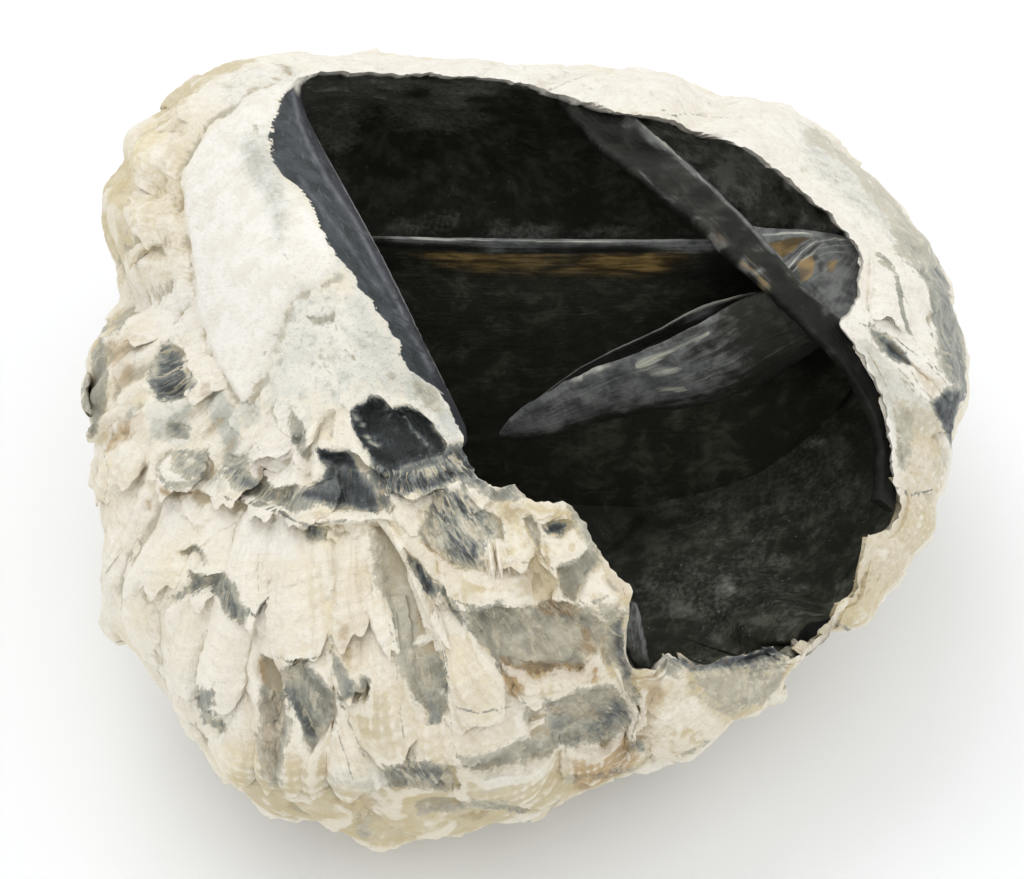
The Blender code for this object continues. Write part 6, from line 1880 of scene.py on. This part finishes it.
# ---------------------------------------------------------------- studio
def studio():
    n = Nodes("pale_floor")
    at = n.coords((1, 1, 1))
    n.put(n.bsdf.inputs["Base Color"], n.mix(n.noise(at, 3.0, 2, 0.5), (0.922, 0.938, 0.955, 1), (0.932, 0.948, 0.965, 1)))
    n.bsdf.inputs["Roughness"].default_value = 0.9
    mesh = bpy.data.meshes.new("floor")
    s = 3.0
    mesh.from_pydata([(-s, -s, -0.0002), (s, -s, -0.0002), (s, s, -0.0002), (-s, s, -0.0002)], [], [(0, 1, 2, 3)])
    mesh.materials.append(n.mat)
    floor = bpy.data.objects.new("floor", mesh)
    bpy.context.scene.collection.objects.link(floor)

    world = bpy.data.worlds.new("studio")
    bpy.context.scene.world = world
    world.use_nodes = True
    world.node_tree.nodes["Background"].inputs["Color"].default_value = (1.0, 1.0, 1.0, 1)
    world.node_tree.nodes["Background"].inputs["Strength"].default_value = 0.86

    def lamp(name, at, aim, size, watts, colour=(1, 1, 1)):
        data = bpy.data.lights.new(name, "AREA")
        data.shape, data.size, data.energy, data.color = "DISK", size, watts, colour
        obj = bpy.data.objects.new(name, data)
        obj.location = at
        obj.rotation_euler = (Vector(aim) - Vector(at)).to_track_quat("-Z", "Y").to_euler()
        bpy.context.scene.collection.objects.link(obj)

    lamp("key", (-0.26, 0.36, 0.88), (0, 0, 0.02), 0.75, 2.3)
    lamp("front", (-0.06, -0.46, 0.88), (0, 0, 0.02), 0.80, 0.75)

    lamp("side", (0.62, 0.06, 0.45), (0.04, 0, 0.0), 0.70, 0.6)

    scene = bpy.context.scene
    scene.view_settings.view_transform = "Standard"
    camera_data = bpy.data.cameras.new("camera")
    camera = bpy.data.objects.new("camera", camera_data)
    scene.collection.objects.link(camera)
    scene.camera = camera
    camera_data.sensor_width = 36.0
    camera_data.lens = 36.0 * SIGHT_DISTANCE / (1024 / SCALE)
    camera_data.clip_start, camera_data.clip_end = 0.05, 20.0
    camera.location = Vector(place(SIGHT))
    camera.rotation_euler = (math.pi / 2 - TILT, 0, 0)


def main():
    outside, inside = wall_finish(), inner_finish()
    make_wall(outside)
    make_inside(inside)
    low = [f for f in FLAKES if f[0] < 400 and f[1] > 400]
    front = [f for f in FLAKES if 400 <= f[0] < 780 and f[1] > 400]
    rest = [f for f in FLAKES if f not in low and f not in front]
    make_flakes("flakes_low_left", drawn_flakes(low, 1000), outside, 165000)
    make_flakes("flakes_front", drawn_flakes(front, 4000), outside, 145000)
    make_flakes("flakes_sides", drawn_flakes(rest, 7000), outside, 135000)
    away_from = unit(on_body([BREAK_CENTRE]))[0]
    opening = np.asarray(BREAK, float)

    def unseen(ends):
        q = ends * body_radius(ends)[:, None]
        facing = (unit(q / np.array([HALF_WIDTH, HALF_LENGTH, HALF_HEIGHT]) ** 2) * unit(SIGHT - q)).sum(1)
        return bool((facing < -0.02).all()) and bool((q[:, 2] > -REST_DEPTH + 1.5).all())

    make_flakes("flakes_back", grown_flakes(77, unseen), outside, 130000, 0.6)
    studio()
    low, high = CAD_BOX


main()
